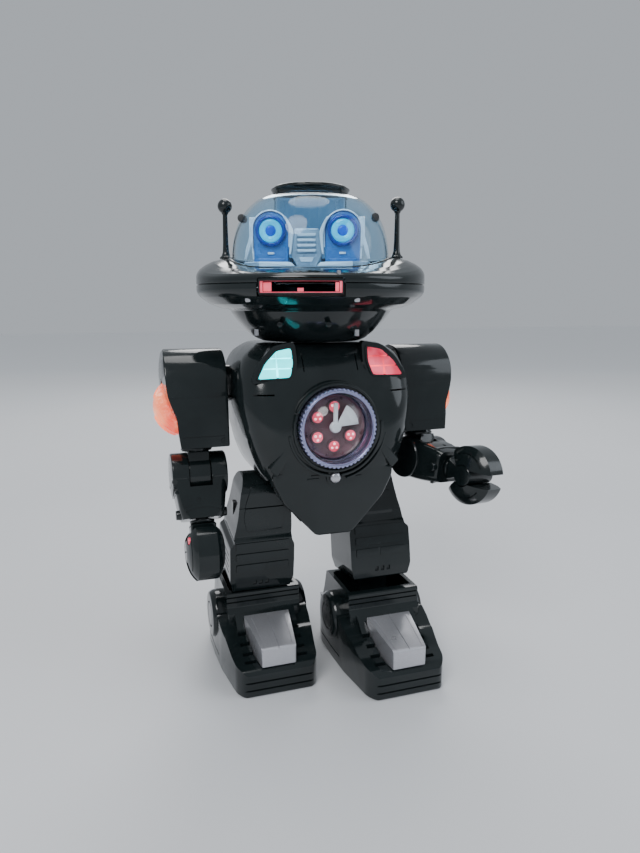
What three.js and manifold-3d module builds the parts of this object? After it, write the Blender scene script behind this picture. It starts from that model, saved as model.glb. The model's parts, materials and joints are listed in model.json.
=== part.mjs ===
import * as THREE from 'three';
import { mergeVertices } from 'three/addons/utils/BufferGeometryUtils.js';
import Module from 'manifold-3d';

// Walking humanoid robot toy, millimetres, +Z up, front towards -Y, +X on the robot's left.

// Standing pose, degrees.
const HEAD_YAW = -22;
const STRIDE = 8.7;
const RIGHT_ARM_SWING = 10;
const RIGHT_ELBOW_BEND = 14;
const LEFT_ARM_SWING = 16;
const LEFT_ARM_TWIST = 19;
const LEFT_ELBOW_BEND = 71;

// Main heights and spacings.
const HIP_X = 45;
const HIP_Z = 140;
const ANKLE_Z = 33;
const HEAD_Y = 5;
const ARM_X = 92;
const ARM_Y = 12;
const SHOULDER_Z = 224;
const ELBOW_DROP = 68;
const CLAW_REACH = 58;
const LEG_LENGTH = (HIP_Z - ANKLE_Z) / Math.cos(THREE.MathUtils.degToRad(STRIDE));
const WALL = 2.6;
const GAP = 0.35;
const FINENESS = 0.13;

// Head.
const BRIM_R = 87;
const SEAM_Z = 298;
const BRIM_TOP = 317.6;
const FRONT_DIP = 9.6;
const DOME_R = 59.6;
const MAGAZINE_R = 27.4;
const HATCH_R = 27.8;
const EYE_X = 25.5;
const EYE_Z = 335;
const ANTENNA_X = 65.5;
const MOUTH_HALF = 25.6;
const MOUTH_Z = [291.9, 298.7];

// Torso front fittings.
const BELLY_Z = 197;
const BELLY_R = 29;
const BELLY_SEAT_Y = -53;
const BUTTON_Z = 160;
const BUTTON_R = 4.2;
const LAMP_OUTLINE = [[29, 253.5], [40, 251.5], [49, 243], [55, 232.5], [31.5, 233], [28.5, 243]];

// Torso rear fittings.
const REAR_Y = 46;
const DOOR_HALF = 27;
const DOOR_Z = [169, 215];
const SPEAKER_Z = 232;
const SWITCH_X = 31;
const SWITCH_Z = 228;

// Limbs.
const LENS_R = 22;
const LENS_DROP = 16;
const ELBOW_R = 16.5;
const KNUCKLE_HALF = 8;
const CLAW_R = 22.5;
const CLAW_HUB_R = 8;
const CLAW_GAP = 5.5;
const POD_R = 19.5;
const TOE_Y = -77;
const ROLLER_Y = -22;
const ROLLER_R = 6;

const wasm = await Module();
wasm.setup();
const rad = THREE.MathUtils.degToRad;

function toSolid(geometry) {
  geometry.deleteAttribute('normal');
  geometry.deleteAttribute('uv');
  const merged = mergeVertices(geometry, 1e-4);
  const vertices = Float32Array.from(merged.attributes.position.array);
  const triangles = merged.index.array;
  const kept = [];
  let volume = 0;
  for (let i = 0; i < triangles.length; i += 3) {
    const [a, b, c] = triangles.slice(i, i + 3);
    if (a !== b && b !== c && a !== c) {
      kept.push(a, b, c);
      const p = new THREE.Vector3().fromArray(vertices, 3 * a);
      const q = new THREE.Vector3().fromArray(vertices, 3 * b);
      const r = new THREE.Vector3().fromArray(vertices, 3 * c);
      volume += p.dot(q.cross(r));
    }
  }
  if (volume < 0) {
    kept.reverse();
  }
  const mesh = new wasm.Mesh({
    numProp: 3,
    vertProperties: vertices,
    triVerts: Uint32Array.from(kept),
  });
  return new wasm.Manifold(mesh);
}

const join = (...solids) => solids.reduce((a, b) => a.add(b));
const cut = (base, ...tools) => tools.reduce((a, b) => a.subtract(b), base);
const common = (...solids) => solids.reduce((a, b) => a.intersect(b));

function box([x0, x1], [y0, y1], [z0, z1]) {
  const g = new THREE.BoxGeometry(x1 - x0, y1 - y0, z1 - z0);
  return toSolid(g.translate((x0 + x1) / 2, (y0 + y1) / 2, (z0 + z1) / 2));
}

// Turns geometry built along +Z so that it runs along the named axis.
function along(axis, g) {
  if (axis === 'x') {
    g.applyMatrix4(new THREE.Matrix4().set(0, 0, 1, 0, 1, 0, 0, 0, 0, 1, 0, 0, 0, 0, 0, 1));
  }
  if (axis === 'y') {
    g.applyMatrix4(new THREE.Matrix4().set(1, 0, 0, 0, 0, 0, 1, 0, 0, 1, 0, 0, 0, 0, 0, 1));
  }
  return g;
}

// Cylinder or cone between two stations of an axis, centred on the two other coordinates.
function rod(axis, r0, r1, from, to, [p, q], segments = 20) {
  const g = new THREE.CylinderGeometry(r1, r0, to - from, segments);
  g.rotateX(Math.PI / 2);
  g.translate(p, q, (from + to) / 2);
  return toSolid(along(axis, g));
}

// Flat outline pushed along an axis, with an optional chamfer on both ends.
function prism(axis, outline, from, to, chamfer = 0) {
  const shape = new THREE.Shape(outline.map(([u, v]) => new THREE.Vector2(u, v)));
  const g = new THREE.ExtrudeGeometry(shape, {
    depth: to - from - 2 * chamfer,
    bevelEnabled: chamfer > 0,
    bevelThickness: chamfer,
    bevelSize: chamfer,
    bevelOffset: -chamfer,
    bevelSegments: 1,
    curveSegments: 8,
  });
  g.translate(0, 0, from + chamfer);
  return toSolid(along(axis, g));
}

// Turned body from a closed radius/height profile.
function turned(profile, segments = 28, axis = 'z', [p, q] = [0, 0]) {
  const points = profile.map(([r, z]) => new THREE.Vector2(r, z));
  const g = new THREE.LatheGeometry([...points, points[0].clone()], segments);
  g.rotateX(Math.PI / 2);
  g.translate(p, q, 0);
  return toSolid(along(axis, g));
}

// Body swept through rounded-rectangle sections stacked in Z.
function loft(sections, corner = 4) {
  const positions = [];
  const index = [];
  const count = 4 * (corner + 1);
  for (const { z, x, y, r } of sections) {
    const centres = [[x[1] - r, y[1] - r], [x[0] + r, y[1] - r], [x[0] + r, y[0] + r], [x[1] - r, y[0] + r]];
    centres.forEach(([cx, cy], k) => {
      for (let i = 0; i <= corner; i += 1) {
        const a = (k + i / corner) * Math.PI / 2;
        positions.push(cx + r * Math.cos(a), cy + r * Math.sin(a), z);
      }
    });
  }
  for (let s = 0; s + 1 < sections.length; s += 1) {
    for (let i = 0; i < count; i += 1) {
      const a = s * count + i;
      const b = s * count + (i + 1) % count;
      index.push(a, b, a + count, b, b + count, a + count);
    }
  }
  [0, sections.length - 1].forEach((s, top) => {
    const { z, x, y } = sections[s];
    const centre = positions.length / 3;
    positions.push((x[0] + x[1]) / 2, (y[0] + y[1]) / 2, z);
    for (let i = 0; i < count; i += 1) {
      const a = s * count + i;
      const b = s * count + (i + 1) % count;
      index.push(centre, top ? a : b, top ? b : a);
    }
  });
  const g = new THREE.BufferGeometry();
  g.setAttribute('position', new THREE.Float32BufferAttribute(positions, 3));
  g.setIndex(index);
  return toSolid(g);
}

const arc = (radius, from, to, steps) => Array.from({ length: steps + 1 }, (_, i) => {
  const a = rad(from + (to - from) * i / steps);
  return [radius * Math.cos(a), radius * Math.sin(a)];
});

function paint(colour, roughness, metalness, opacity = 1) {
  return new THREE.MeshStandardMaterial({
    color: colour, roughness, metalness, opacity, transparent: opacity < 1,
  });
}

const paints = {
  shell: paint(0x0c1112, 0.16, 0.0),
  silver: paint(0xb9bcc2, 0.32, 0.7),
  dome: paint(0x8fb6d6, 0.05, 0.0, 0.35),
  clear: paint(0xdfe6ea, 0.05, 0.0, 0.35),
  cyan: paint(0x19e6f2, 0.2, 0.0),
  red: paint(0xf0405c, 0.25, 0.0),
  orange: paint(0xff5a3c, 0.25, 0.0),
  blue: paint(0x123a8c, 0.25, 0.0),
  frame: paint(0x2a2d30, 0.55, 0.0),
  white: paint(0xe4e8ea, 0.4, 0.0),
  steel: paint(0x9a9da1, 0.3, 0.9),
  board: paint(0x1f5b34, 0.6, 0.0),
  cell: paint(0xb0792a, 0.35, 0.5),
  foam: paint(0xe07a2c, 0.8, 0.0),
  rubber: paint(0x1a1a1a, 0.85, 0.0),
};

// Adds one solid to a group as a named mesh; side -1 gives the mirror image.
function place(group, name, material, solid, side = 1) {
  const { vertProperties, triVerts, numProp } = solid.simplify(FINENESS).getMesh();
  const positions = [];
  for (let i = 0; i < vertProperties.length; i += numProp) {
    positions.push(side * vertProperties[i], vertProperties[i + 1], vertProperties[i + 2]);
  }
  const g = new THREE.BufferGeometry();
  g.setAttribute('position', new THREE.Float32BufferAttribute(positions, 3));
  g.setIndex(side < 0 ? Array.from(triVerts).reverse() : Array.from(triVerts));
  const flat = g.toNonIndexed();
  flat.computeVertexNormals();
  const mesh = new THREE.Mesh(flat, paints[material]);
  mesh.name = name;
  group.add(mesh);
}

function frameAt(parent, x, y, z, axis = 'x', degrees = 0) {
  const group = new THREE.Group();
  group.position.set(x, y, z);
  group.rotation[axis] = rad(degrees);
  parent.add(group);
  return group;
}

const robot = new THREE.Group();
robot.name = 'walking_robot';
const body = new THREE.Group();
robot.add(body);

// ---------------------------------------------------------------- torso

const TORSO = [
  [158.5, 50, -51, 42, 16], [166, 54, -53, 45.6, 18], [180, 59, -55.5, 46, 20], [197, 63, -56, 46, 22],
  [212, 65.5, -53.5, 46, 22], [224, 66, -50, 46, 22], [235, 65, -45, 45.5, 21], [246, 60, -38.5, 43.5, 19],
  [252, 53, -33, 40, 18], [255, 47, -29, 37, 17],
];
const CAVITY_Z = [161.1, 166, 180, 197, 212, 224, 235, 246, 250.4, 252.4];
const SHIELD = [[-46, 166], [46, 166], [46, 158], [38, 142], [14, 116], [-14, 116], [-38, 142], [-46, 158]];

function torsoLoft(inset, heights) {
  return loft(TORSO.map(([z, half, front, rear, r], i) => ({
    z: heights ? heights[i] : z,
    x: [-half + inset, half - inset],
    y: [front + inset, rear - inset],
    r: r - inset,
  })));
}

function shrink(outline, amount) {
  const cx = outline.reduce((sum, [u]) => sum + u, 0) / outline.length;
  const cy = outline.reduce((sum, [, v]) => sum + v, 0) / outline.length;
  return outline.map(([u, v]) => {
    const d = Math.hypot(u - cx, v - cy);
    return [cx + (u - cx) * (1 - amount / d), cy + (v - cy) * (1 - amount / d)];
  });
}

const mirrored = (outline, side) => outline.map(([u, v]) => [side * u, v]);

function torsoShell() {
  let shell = join(
    torsoLoft(0),
    prism('y', SHIELD, -52.5, -29.5, 1.6),
    box([-20, 20], [-30, 31], [120, 162]),
    rod('z', 3.6, 3.0, 113.5, 117, [0, -41], 16),
    rod('x', 14, 14, -69.4, 69.4, [ARM_Y, SHOULDER_Z]),
    rod('y', BELLY_R + 4.5, BELLY_R + 4.5, -54.5, -44, [0, BELLY_Z], 28),
  );
  for (const side of [-1, 1]) {
    const lamp = mirrored(LAMP_OUTLINE, side);
    shell = join(shell, common(
      prism('y', shrink(lamp, -3.6), -52, -31, 1.2),
      prism('x', [[-30, 225], [-30, 262], [-36.2, 262], [-46.2, 231], [-46.2, 225]], -70, 70),
    ));
  }
  shell = cut(
    shell,
    torsoLoft(WALL, CAVITY_Z),
    prism('y', shrink(SHIELD, 4), -49.4, -32.4),
    box([-17.2, 17.2], [-27.2, 28.2], [123, 164]),
    box([-12, 12], [-36, -26], [128, 158]),
    rod('y', BELLY_R + 0.5, BELLY_R + 0.5, -70, BELLY_SEAT_Y, [0, BELLY_Z], 28),
    rod('y', 24, 24, -70, -40, [0, BELLY_Z], 28),
    rod('y', BUTTON_R + GAP, BUTTON_R + GAP, -60, -45, [0, BUTTON_Z], 20),
    rod('x', 5.35, 5.35, -80, 80, [ARM_Y, SHOULDER_Z], 20),
    rod('x', 5.35, 5.35, -80, 80, [0, HIP_Z], 20),
    rod('z', 14.2, 14.2, 245, 262, [0, HEAD_Y], 32),
    box([-DOOR_HALF, DOOR_HALF], [38, 60], DOOR_Z),
    box([SWITCH_X - 5, SWITCH_X + 5], [38, 60], [SWITCH_Z - 2.9, SWITCH_Z + 2.9]),
  );
  for (const side of [-1, 1]) {
    shell = cut(shell, prism('y', mirrored(shrink(LAMP_OUTLINE, -GAP), side), -70, -24));
    shell = cut(shell, box([side < 0 ? -60 : 44, side < 0 ? -44 : 60], [-60, -45], [221, 222.2]));
  }
  for (const step of [-8, -4, 0, 4, 8]) {
    const half = Math.sqrt(144 - step * step);
    shell = cut(shell, box([-half, half], [38, 60], [SPEAKER_Z + step - 1.1, SPEAKER_Z + step + 1.1]));
  }
  return shell;
}

const torso = torsoShell();
place(body, 'torso_front_shell', 'shell', cut(torso, box([-90, 90], [-0.15, 90], [90, 280])));
place(body, 'torso_rear_shell', 'shell', cut(torso, box([-90, 90], [-90, 0.15], [90, 280])));

for (const [side, name, material] of [[-1, 'right', 'cyan'], [1, 'left', 'red']]) {
  let lamp = common(
    prism('y', mirrored(LAMP_OUTLINE, side), -60, -31),
    prism('x', [[-31, 225], [-31, 262], [-39.5, 255], [-46.9, 233], [-47, 225]], -70, 70),
  );
  for (const z of [239.5, 246.5]) {
    lamp = cut(lamp, prism('x', [[-60, z - 1.6], [-40, z], [-60, z + 1.6]], -70, 70));
  }
  lamp = cut(lamp, prism('z', [[side * 41 - 1.4, -60], [side * 41 + 1.4, -60], [side * 41, -39]], 225, 262));
  place(body, `chest_lamp_${name}`, material, lamp);
}

// Belly window: knurled ring, clear dome, reflector and turning light wheel.
const RING_TEETH = 28;
const knurl = [];
for (let i = 0; i < RING_TEETH; i += 1) {
  for (const [share, r] of [[0, BELLY_R - 1.1], [0.3, BELLY_R], [0.6, BELLY_R]]) {
    const a = 2 * Math.PI * (i + share) / RING_TEETH;
    knurl.push([r * Math.cos(a), BELLY_Z + r * Math.sin(a)]);
  }
}
place(body, 'belly_ring', 'steel', cut(
  prism('y', knurl, -62, BELLY_SEAT_Y - 0.3),
  rod('y', 25.7, 25.7, -70, -40, [0, BELLY_Z], 28),
));

const capProfile = (radius, height, base, steps) => {
  const sphere = (radius * radius + height * height) / (2 * height);
  return Array.from({ length: steps + 1 }, (_, i) => {
    const r = radius * (1 - i / steps);
    return [r, base - Math.sqrt(sphere * sphere - r * r) + sphere - height];
  });
};
place(body, 'belly_dome', 'clear', cut(
  turned([...capProfile(25.4, 14, -56, 4), [0, BELLY_SEAT_Y - 0.3], [25.4, BELLY_SEAT_Y - 0.3]],
    28, 'y', [0, BELLY_Z]),
  turned([...capProfile(23.8, 13, -55.4, 4), [0, BELLY_SEAT_Y + 2], [23.8, BELLY_SEAT_Y + 2]],
    28, 'y', [0, BELLY_Z]),
));
let reflector = join(
  rod('y', 23.5, 23.5, -49.5, -47, [0, BELLY_Z], 28),
  rod('y', 5, 5, -48, -41, [0, BELLY_Z], 20),
);
for (let i = 0; i < 6; i += 1) {
  const a = rad(30 + 60 * i);
  const at = [15 * Math.cos(a), BELLY_Z + 15 * Math.sin(a)];
  reflector = join(reflector, rod('y', 4.4, 5.2, -51.4, -49, at, 12));
}
place(body, 'belly_reflector', 'red', cut(reflector, rod('y', 1.7, 1.7, -60, -42.5, [0, BELLY_Z], 14)));
place(body, 'light_rotor', 'white', join(
  rod('y', 1.4, 1.4, -55.5, -44, [0, BELLY_Z], 14),
  rod('y', 4.2, 4.2, -55.4, -52, [0, BELLY_Z], 20),
  box([-1.3, 1.3], [-55, -52.4], [BELLY_Z, BELLY_Z + 17.5]),
  prism('y', [[0, 0], ...arc(17.5, 5, 62, 6)].map(([u, v]) => [u, v + BELLY_Z]), -54.4, -52.9),
));

place(body, 'chest_button', 'silver', turned(
  [[0, -56.4], [2.4, -56], [BUTTON_R, -54.6], [BUTTON_R, -46.9], [0, -46.9]], 24, 'y', [0, BUTTON_Z],
));

// Drive train, power and sound inside the torso.
place(body, 'hip_shaft', 'steel', rod('x', 5, 5, -42, 42, [0, HIP_Z], 20));
place(body, 'shoulder_axle', 'steel', rod('x', 5, 5, -77, 77, [ARM_Y, SHOULDER_Z], 20));
place(body, 'walk_gearbox', 'frame', cut(
  box([-16.8, 16.8], [-26, 27], [124, 160]),
  rod('x', 5.35, 5.35, -30, 30, [0, HIP_Z], 20),
  box([-18, -13], [-28, -10], [122, 162]),
  box([13, 18], [-28, -10], [122, 162]),
));
place(body, 'walk_motor', 'steel', join(
  rod('x', 11, 11, -18, 18, [-14, 172.5], 24),
  rod('x', 4, 4, 17, 24, [-14, 172.5], 16),
));
place(body, 'main_board', 'board', join(
  box([-38, 38], [9, 10.6], [164, 212]),
  box([-12, 12], [5.5, 9.2], [178, 190]),
  box([18, 30], [6, 9.2], [194, 204]),
));
for (const [i, z] of [[1, 182], [2, 208]]) {
  place(body, `battery_${i}`, 'cell', join(
    rod('x', 12.4, 12.4, -24, 22, [29.5, z], 24),
    rod('x', 3.2, 3.2, 21.5, 24, [29.5, z], 14),
  ));
}
place(body, 'speaker', 'frame', turned(
  [[0, 31], [8, 31], [9, 34], [12.6, 37.5], [12.6, 40], [11, 40], [4, 36.5], [0, 36]],
  20, 'y', [0, SPEAKER_Z],
));
place(body, 'neck_motor', 'steel', join(
  rod('z', 9.5, 9.5, 231, 247, [0, -20.5], 24),
  rod('z', 3.2, 3.2, 246, 250, [0, -20.5], 14),
));
place(body, 'battery_door', 'shell', join(
  box([-DOOR_HALF + GAP, DOOR_HALF - GAP], [REAR_Y - WALL, REAR_Y + 0.2], [DOOR_Z[0] + GAP, DOOR_Z[1] - GAP]),
  box([-20, 20], [REAR_Y, REAR_Y + 0.9], [176, 177.6]),
  box([-20, 20], [REAR_Y, REAR_Y + 0.9], [181, 182.6]),
  box([-6, 6], [REAR_Y, REAR_Y + 1.6], [208.5, 211.5]),
));
place(body, 'power_switch', 'silver', join(
  box([SWITCH_X - 4.6, SWITCH_X - 0.6], [42, REAR_Y + 2.2], [SWITCH_Z - 2.4, SWITCH_Z + 2.4]),
  box([SWITCH_X - 7.5, SWITCH_X + 2.5], [40.4, 42.8], [SWITCH_Z - 4, SWITCH_Z + 4]),
));

// ---------------------------------------------------------------- head

const head = frameAt(body, 0, HEAD_Y, 0, 'z', HEAD_YAW);

const BOWL = [
  [13.8, 246], [13.8, 256.5], [38, 256.5], [41.5, 258.5], [50, 264.5], [57.7, 273], [62, 279.5], [69, 280.5],
  [80, 285.5], [BRIM_R - 0.8, 291.5], [BRIM_R, 293.5], [BRIM_R, SEAM_Z - 0.2], [84.4, SEAM_Z - 0.2],
  [84.4, 294], [78.8, 288], [68, 283], [60.8, 282.2], [54.4, 273.4], [41, 261],
  [10, 259.4], [10, 246],
];
const BRIM = [
  [84.4, SEAM_Z + 0.2], [BRIM_R, SEAM_Z + 0.2], [BRIM_R, 306], [BRIM_R - 1, 308.5], [83, 312], [76, 316],
  [66, BRIM_TOP], [60.4, BRIM_TOP], [60.4, 315], [66, 315], [75, 313.4], [81.6, 309.8], [84.4, 306.6],
];
const mouthRecess = cut(
  box([-28.8, 28.8], [-100, -60], [289.9, 301.1]),
  rod('z', 81.2, 81.2, 280, 310, [0, 0], 36),
);
const mouthSlot = box([-MOUTH_HALF, MOUTH_HALF], [-100, -50], MOUTH_Z);

// The brim stands lower in front of the face: its height shrinks smoothly from the antennas forward.
function dipFront(solid) {
  return solid.warp((p) => {
    const t = THREE.MathUtils.smoothstep(-p[1], 6, 66);
    p[2] -= FRONT_DIP * t * (p[2] - SEAM_Z) / (BRIM_TOP - SEAM_Z);
  });
}

place(head, 'head_bowl', 'shell', cut(
  join(turned(BOWL, 36), ...[-1, 1].map((s) => rod('y', 2, 2, -58.6, -52, [s * 17, 270], 12))),
  mouthRecess,
  mouthSlot,
  box([-29.4, 29.4], [-90, -50], [288.9, 297]),
));
place(head, 'head_brim', 'shell', cut(
  dipFront(turned(BRIM, 36)),
  mouthRecess,
  mouthSlot,
  ...[-1, 1].map((s) => rod('z', 3.4, 3.4, 305, 325, [s * ANTENNA_X, 0], 16)),
));
place(head, 'mouth_frame', 'red', cut(
  common(
    box([-28.4, 28.4], [-100, -60], [290.3, 300.7]),
    turned([[81.6, 285], [86.8, 285], [86.8, 305], [81.6, 305]], 36),
  ),
  box([-MOUTH_HALF + 0.2, MOUTH_HALF - 0.2], [-100, -50], MOUTH_Z),
));
const DOME = [
  [DOME_R, 305], [DOME_R, 320], [58, 332], [54, 343.5], [48.4, 352.5], [40, 360], [28.4, 364],
  [28.4, 362], [39.2, 358], [47, 351.2], [52.4, 342.8], [56.2, 331.8], [57.8, 319.8], [57.8, 305],
];
place(head, 'dome', 'dome', turned(DOME, 32));
place(head, 'magazine', 'dome', cut(
  join(
    turned([
      [25.4, 300.6], [25.4, 361.8], [MAGAZINE_R, 361.8], [MAGAZINE_R, 299], [23.4, 299], [23.4, 300.6],
    ], 28),
    box([-1.4, 1.4], [-29.2, -26], [310.6, 360]),
    ...[-1, 1].map((s) => box([s * 9 - 0.8, s * 9 + 0.8], [-27.6, -24.2], [310.6, 360])),
  ),
  rod('z', 25.35, 25.35, 300.7, 370, [0, 0], 28),
));
for (const i of [1, 2]) {
  place(head, `disc_${i}`, 'foam', turned(
    [[0, 296 + 5.2 * i], [24, 296 + 5.2 * i], [24.8, 296.8 + 5.2 * i], [24.8, 299.6 + 5.2 * i],
      [24, 300.4 + 5.2 * i], [0, 300.4 + 5.2 * i]], 24,
  ));
}
place(head, 'launch_tray', 'frame', cut(
  join(
    box([-29, 29], [-75.2, 44], [289.2, 291.4]),
    box([-29, -26], [-74, 44], [291, 297.6]),
    box([26, 29], [-74, 44], [291, 297.6]),
    box([-29, 29], [41, 44], [291, 297.6]),
  ),
  ...[-1, 1].map((s) => box([s * 8 - 1.5, s * 8 + 1.5], [-60, 20], [285, 295])),
));
place(head, 'disc_striker', 'frame', join(
  box([-9, 9], [30, 37], [291.8, 297.4]),
  box([-22, 22], [26.5, 31], [291.8, 297.4]),
));
place(head, 'hatch_ring', 'shell', turned(
  [[25.2, 362.2], [HATCH_R, 362.2], [HATCH_R, 364.4], [29.6, 364.6], [29.6, 366], [HATCH_R, 368],
    [25.2, 368]],
  28,
));
place(head, 'hatch_lid', 'shell', cut(
  turned([[0, 368.3], [HATCH_R, 368.3], [HATCH_R, 369.2], [26.6, 370], [0, 370]], 28),
  box([-1.2, 1.2], [-30, -24.6], [368, 371]),
));

// Face inside the dome: deck, two arched eye housings, slatted nose, cheek bars.
function facePlate() {
  let face = turned([[28, 308], [57.4, 308], [57.4, 309.8], [28, 309.8]], 32);
  for (const s of [-1, 1]) {
    const arch = [[-13.2, 309.4], [13.2, 309.4], ...arc(13.2, 0, 180, 10).map(([u, v]) => [u, v + 336])];
    face = join(
      face,
      prism('y', arch.map(([u, v]) => [u + s * EYE_X, v]), -34, -28, 0.8),
      prism('y', mirrored([[9.4, 309.4], [33, 309.4], [33, 313.6], [12.4, 313.6]], s), -44, -33.5, 0.5),
      prism('y', mirrored([[8.6, 347], [11.4, 345.5], [12.6, 339], [10.8, 322], [8.4, 333], [9.6, 340]], s),
        -36, -30, 0.4),
      box([Math.min(s * 23, s * 28), Math.max(s * 23, s * 28)], [-35.2, -33.5], [318.6, 320.2]),
    );
  }
  const nose = prism('y', [[-8.2, 336.5], [8.2, 336.5], [9.8, 318], [5, 309.4], [-5, 309.4], [-9.8, 318]],
    -36.4, -28, 0.6);
  face = join(face, nose, box([-13, 13], [-30.6, -28.6], [309.4, 338]));
  for (let i = 0; i < 4; i += 1) {
    face = cut(face, box([-7, 7], [-40, -35.2], [320.6 + 3.7 * i, 322 + 3.7 * i]));
  }
  for (const s of [-1, 1]) {
    face = cut(face, rod('y', 7.2, 7.2, -36, -32.4, [s * EYE_X, EYE_Z], 24));
  }
  return cut(face, rod('z', MAGAZINE_R + 0.6, MAGAZINE_R + 0.6, 300, 365, [0, 0], 28),
    box([-2.2, 2.2], [-30.4, -26], [300, 365]));
}
place(head, 'face_plate', 'silver', facePlate());
for (const [side, name] of [[-1, 'right'], [1, 'left']]) {
  place(head, `eye_bezel_${name}`, 'blue', turned(
    [[8.3, -34.3], [10.6, -34.3], [10.6, -36.4], [9.6, -37.4], [8.3, -37.4]], 24, 'y', [side * EYE_X, EYE_Z],
  ));
  place(head, `eye_lamp_${name}`, 'cyan', turned(
    [[0, -32.7], [6.8, -32.7], [6.8, -34.3], [7.9, -34.3], [7.9, -36.2], [6.6, -36.9], [4, -36.9],
      [3.7, -36], [0, -36.4]], 24, 'y', [side * EYE_X, EYE_Z],
  ));
  place(head, `antenna_${name}`, 'shell', turned(
    [[0, 312], [3, 312], [3, 318], [4.8, 318], [4.8, 319.4], [3.2, 321], [2.3, 324], [1.8, 350.6],
      [2.6, 351.8], [4.6, 353.6], [5.5, 357], [4.6, 360.4], [2.6, 362], [0, 362.5]],
    14, 'z', [side * ANTENNA_X, 0],
  ));
}

// ---------------------------------------------------------------- arms

const HOOD_FRONT = [
  [-22, 28], [19.5, 28], [22, 25.6], [23, 14], [22.6, 2], [21.6, -9], [18.6, -19], [15.8, -27],
  [15, -37], [13.6, -48], [-22, -48],
];
const HOOD_SIDE = [...arc(27, 0, 180, 14), [-25.6, -18], [-22.6, -49], [22.6, -49], [25.6, -18]];
const HOOD_ROOM = [...arc(27 - WALL, 0, 180, 8), [-23, -18], [-22.2, -28], [22.2, -28], [23, -18]];
// Lower edge of the hood's outer wall, seen from the side, and the space under it.
const SIDE_WINDOW = [
  [30, 16], [20, 13], [8, 8], [-2, -2], [-10, -14], [-17, -27], [-21, -34], [-24, -42], [30, -42],
];

function hood() {
  return cut(
    common(prism('x', HOOD_SIDE, -22, 23, 1), prism('y', HOOD_FRONT, -30, 30)),
    common(
      prism('x', HOOD_ROOM, -19.4, 8.6),
      box([-30, 30], [-30, 30], [-28.4, 30]),
    ),
    common(
      rod('x', LENS_R + 0.5, LENS_R + 0.5, 11, 40, [0, -LENS_DROP], 32),
      prism('x', SIDE_WINDOW, 11, 41),
    ),
    rod('x', 5.35, 5.35, -30, -17, [0, 0], 20),
    rod('z', 8.35, 8.35, -40, -20, [0, 0], 24),
    box([-12.4, 40], [-20.4, 40], [-60, -31]),
    box([-30, 30], [-28.2, -26.2], [-12, -10.8]),
  );
}

function lens() {
  const dome = capProfile(LENS_R, 15, 0, 5).map(([r, h]) => [r, 15.4 - h]);
  const edge = SIDE_WINDOW.map(([y, z]) => [y + 0.5, z - 0.5]);
  return common(
    turned([[0, 11.4], [LENS_R, 11.4], ...dome], 28, 'x', [0, -LENS_DROP]),
    prism('x', edge, 11, 41),
  );
}

function upperArm() {
  const knuckle = join(
    rod('x', 15, 15, -KNUCKLE_HALF, KNUCKLE_HALF, [0, -ELBOW_DROP]),
    box([-KNUCKLE_HALF, KNUCKLE_HALF], [-11, 11], [-ELBOW_DROP, -50.4]),
    rod('x', 4, 4, -19, 19, [0, -ELBOW_DROP], 16),
  );
  return join(
    rod('z', 8, 8, -32, -6, [0, 0], 24),
    rod('z', 11.2, 11.2, -50.6, -38, [0, 0], 28),
    rod('z', 10.4, 11.2, -38, -31.4, [0, 0], 28),
    knuckle,
    rod('y', 2.2, 2.2, -11.6, -9, [0, -42.5], 12),
  );
}

function forearm() {
  const shape = loft([
    { z: -35, x: [-15, 15], y: [-12.4, 12.4], r: 6 },
    { z: -30, x: [-16.4, 16.4], y: [-13.4, 13.4], r: 6 },
    { z: -17, x: [-18.4, 18.4], y: [-15, 15], r: 5 },
    { z: -4, x: [-20.5, 20.5], y: [-15, 15], r: 4 },
  ]);
  const barrel = rod('x', ELBOW_R, ELBOW_R, -20.5, 20.5, [0, 0]);
  const arm = join(
    shape,
    barrel,
    rod('x', 4, 3.4, 14, 19, [0, -30.5], 12),
    rod('x', 3.4, 4, -19, -14, [0, -30.5], 12),
  );
  return cut(
    arm,
    rod('x', 15.6, 15.6, -KNUCKLE_HALF - GAP, KNUCKLE_HALF + GAP, [0, 0]),
    box([-KNUCKLE_HALF - GAP, KNUCKLE_HALF + GAP], [-22, 0], [-12, 22]),
    box([-KNUCKLE_HALF - GAP, KNUCKLE_HALF + GAP], [-12, 12], [0, 22]),
    rod('x', 4.35, 4.35, -19.4, 19.4, [0, 0], 16),
    rod('z', 5.35, 5.35, -40, -22, [0, 0], 20),
    box([-30, 30], [-18, -14.2], [-24.6, -23.6]),
  );
}

function wrist() {
  const hubZ = -CLAW_REACH;
  return join(
    rod('z', 5, 5, -42, -23, [0, 0], 20),
    prism('x', [[0, hubZ], ...arc(20.5, 66, 114, 4).map(([u, v]) => [u, hubZ + v])], -9.4, 9.4, 1),
    rod('x', CLAW_HUB_R, CLAW_HUB_R, -14, 14, [0, hubZ]),
  );
}

// Both jaws together fill a flattened ball; this is its outline turned about the hub.
const CLAW_BALL = [[0, -14.2], [9, -13.8], [15, -12.2], [19.5, -9.8], [CLAW_R, -7.4]];

// One jaw of the round claw, opening about the hub; turn +1 is the jaw on the elbow's inner side.
function jaw(turn) {
  const inner = CLAW_HUB_R + 0.4;
  const a0 = THREE.MathUtils.radToDeg(Math.asin(CLAW_GAP / CLAW_R));
  const a1 = THREE.MathUtils.radToDeg(Math.asin(CLAW_GAP / inner));
  const outline = [...arc(CLAW_R, a0, 135, 14), ...arc(inner, 135, a1, 7)];
  const yz = outline.map(([u, v]) => [-turn * v, -CLAW_REACH - u]);
  const far = [...CLAW_BALL].reverse().map(([r, x]) => [r, -x]);
  return cut(
    common(prism('x', yz, -15, 15), turned([...CLAW_BALL, ...far], 32, 'x', [0, -CLAW_REACH])),
    rod('x', 3, 3, 10.6, 16, [-turn * 12, -CLAW_REACH + 7], 14),
  );
}

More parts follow.
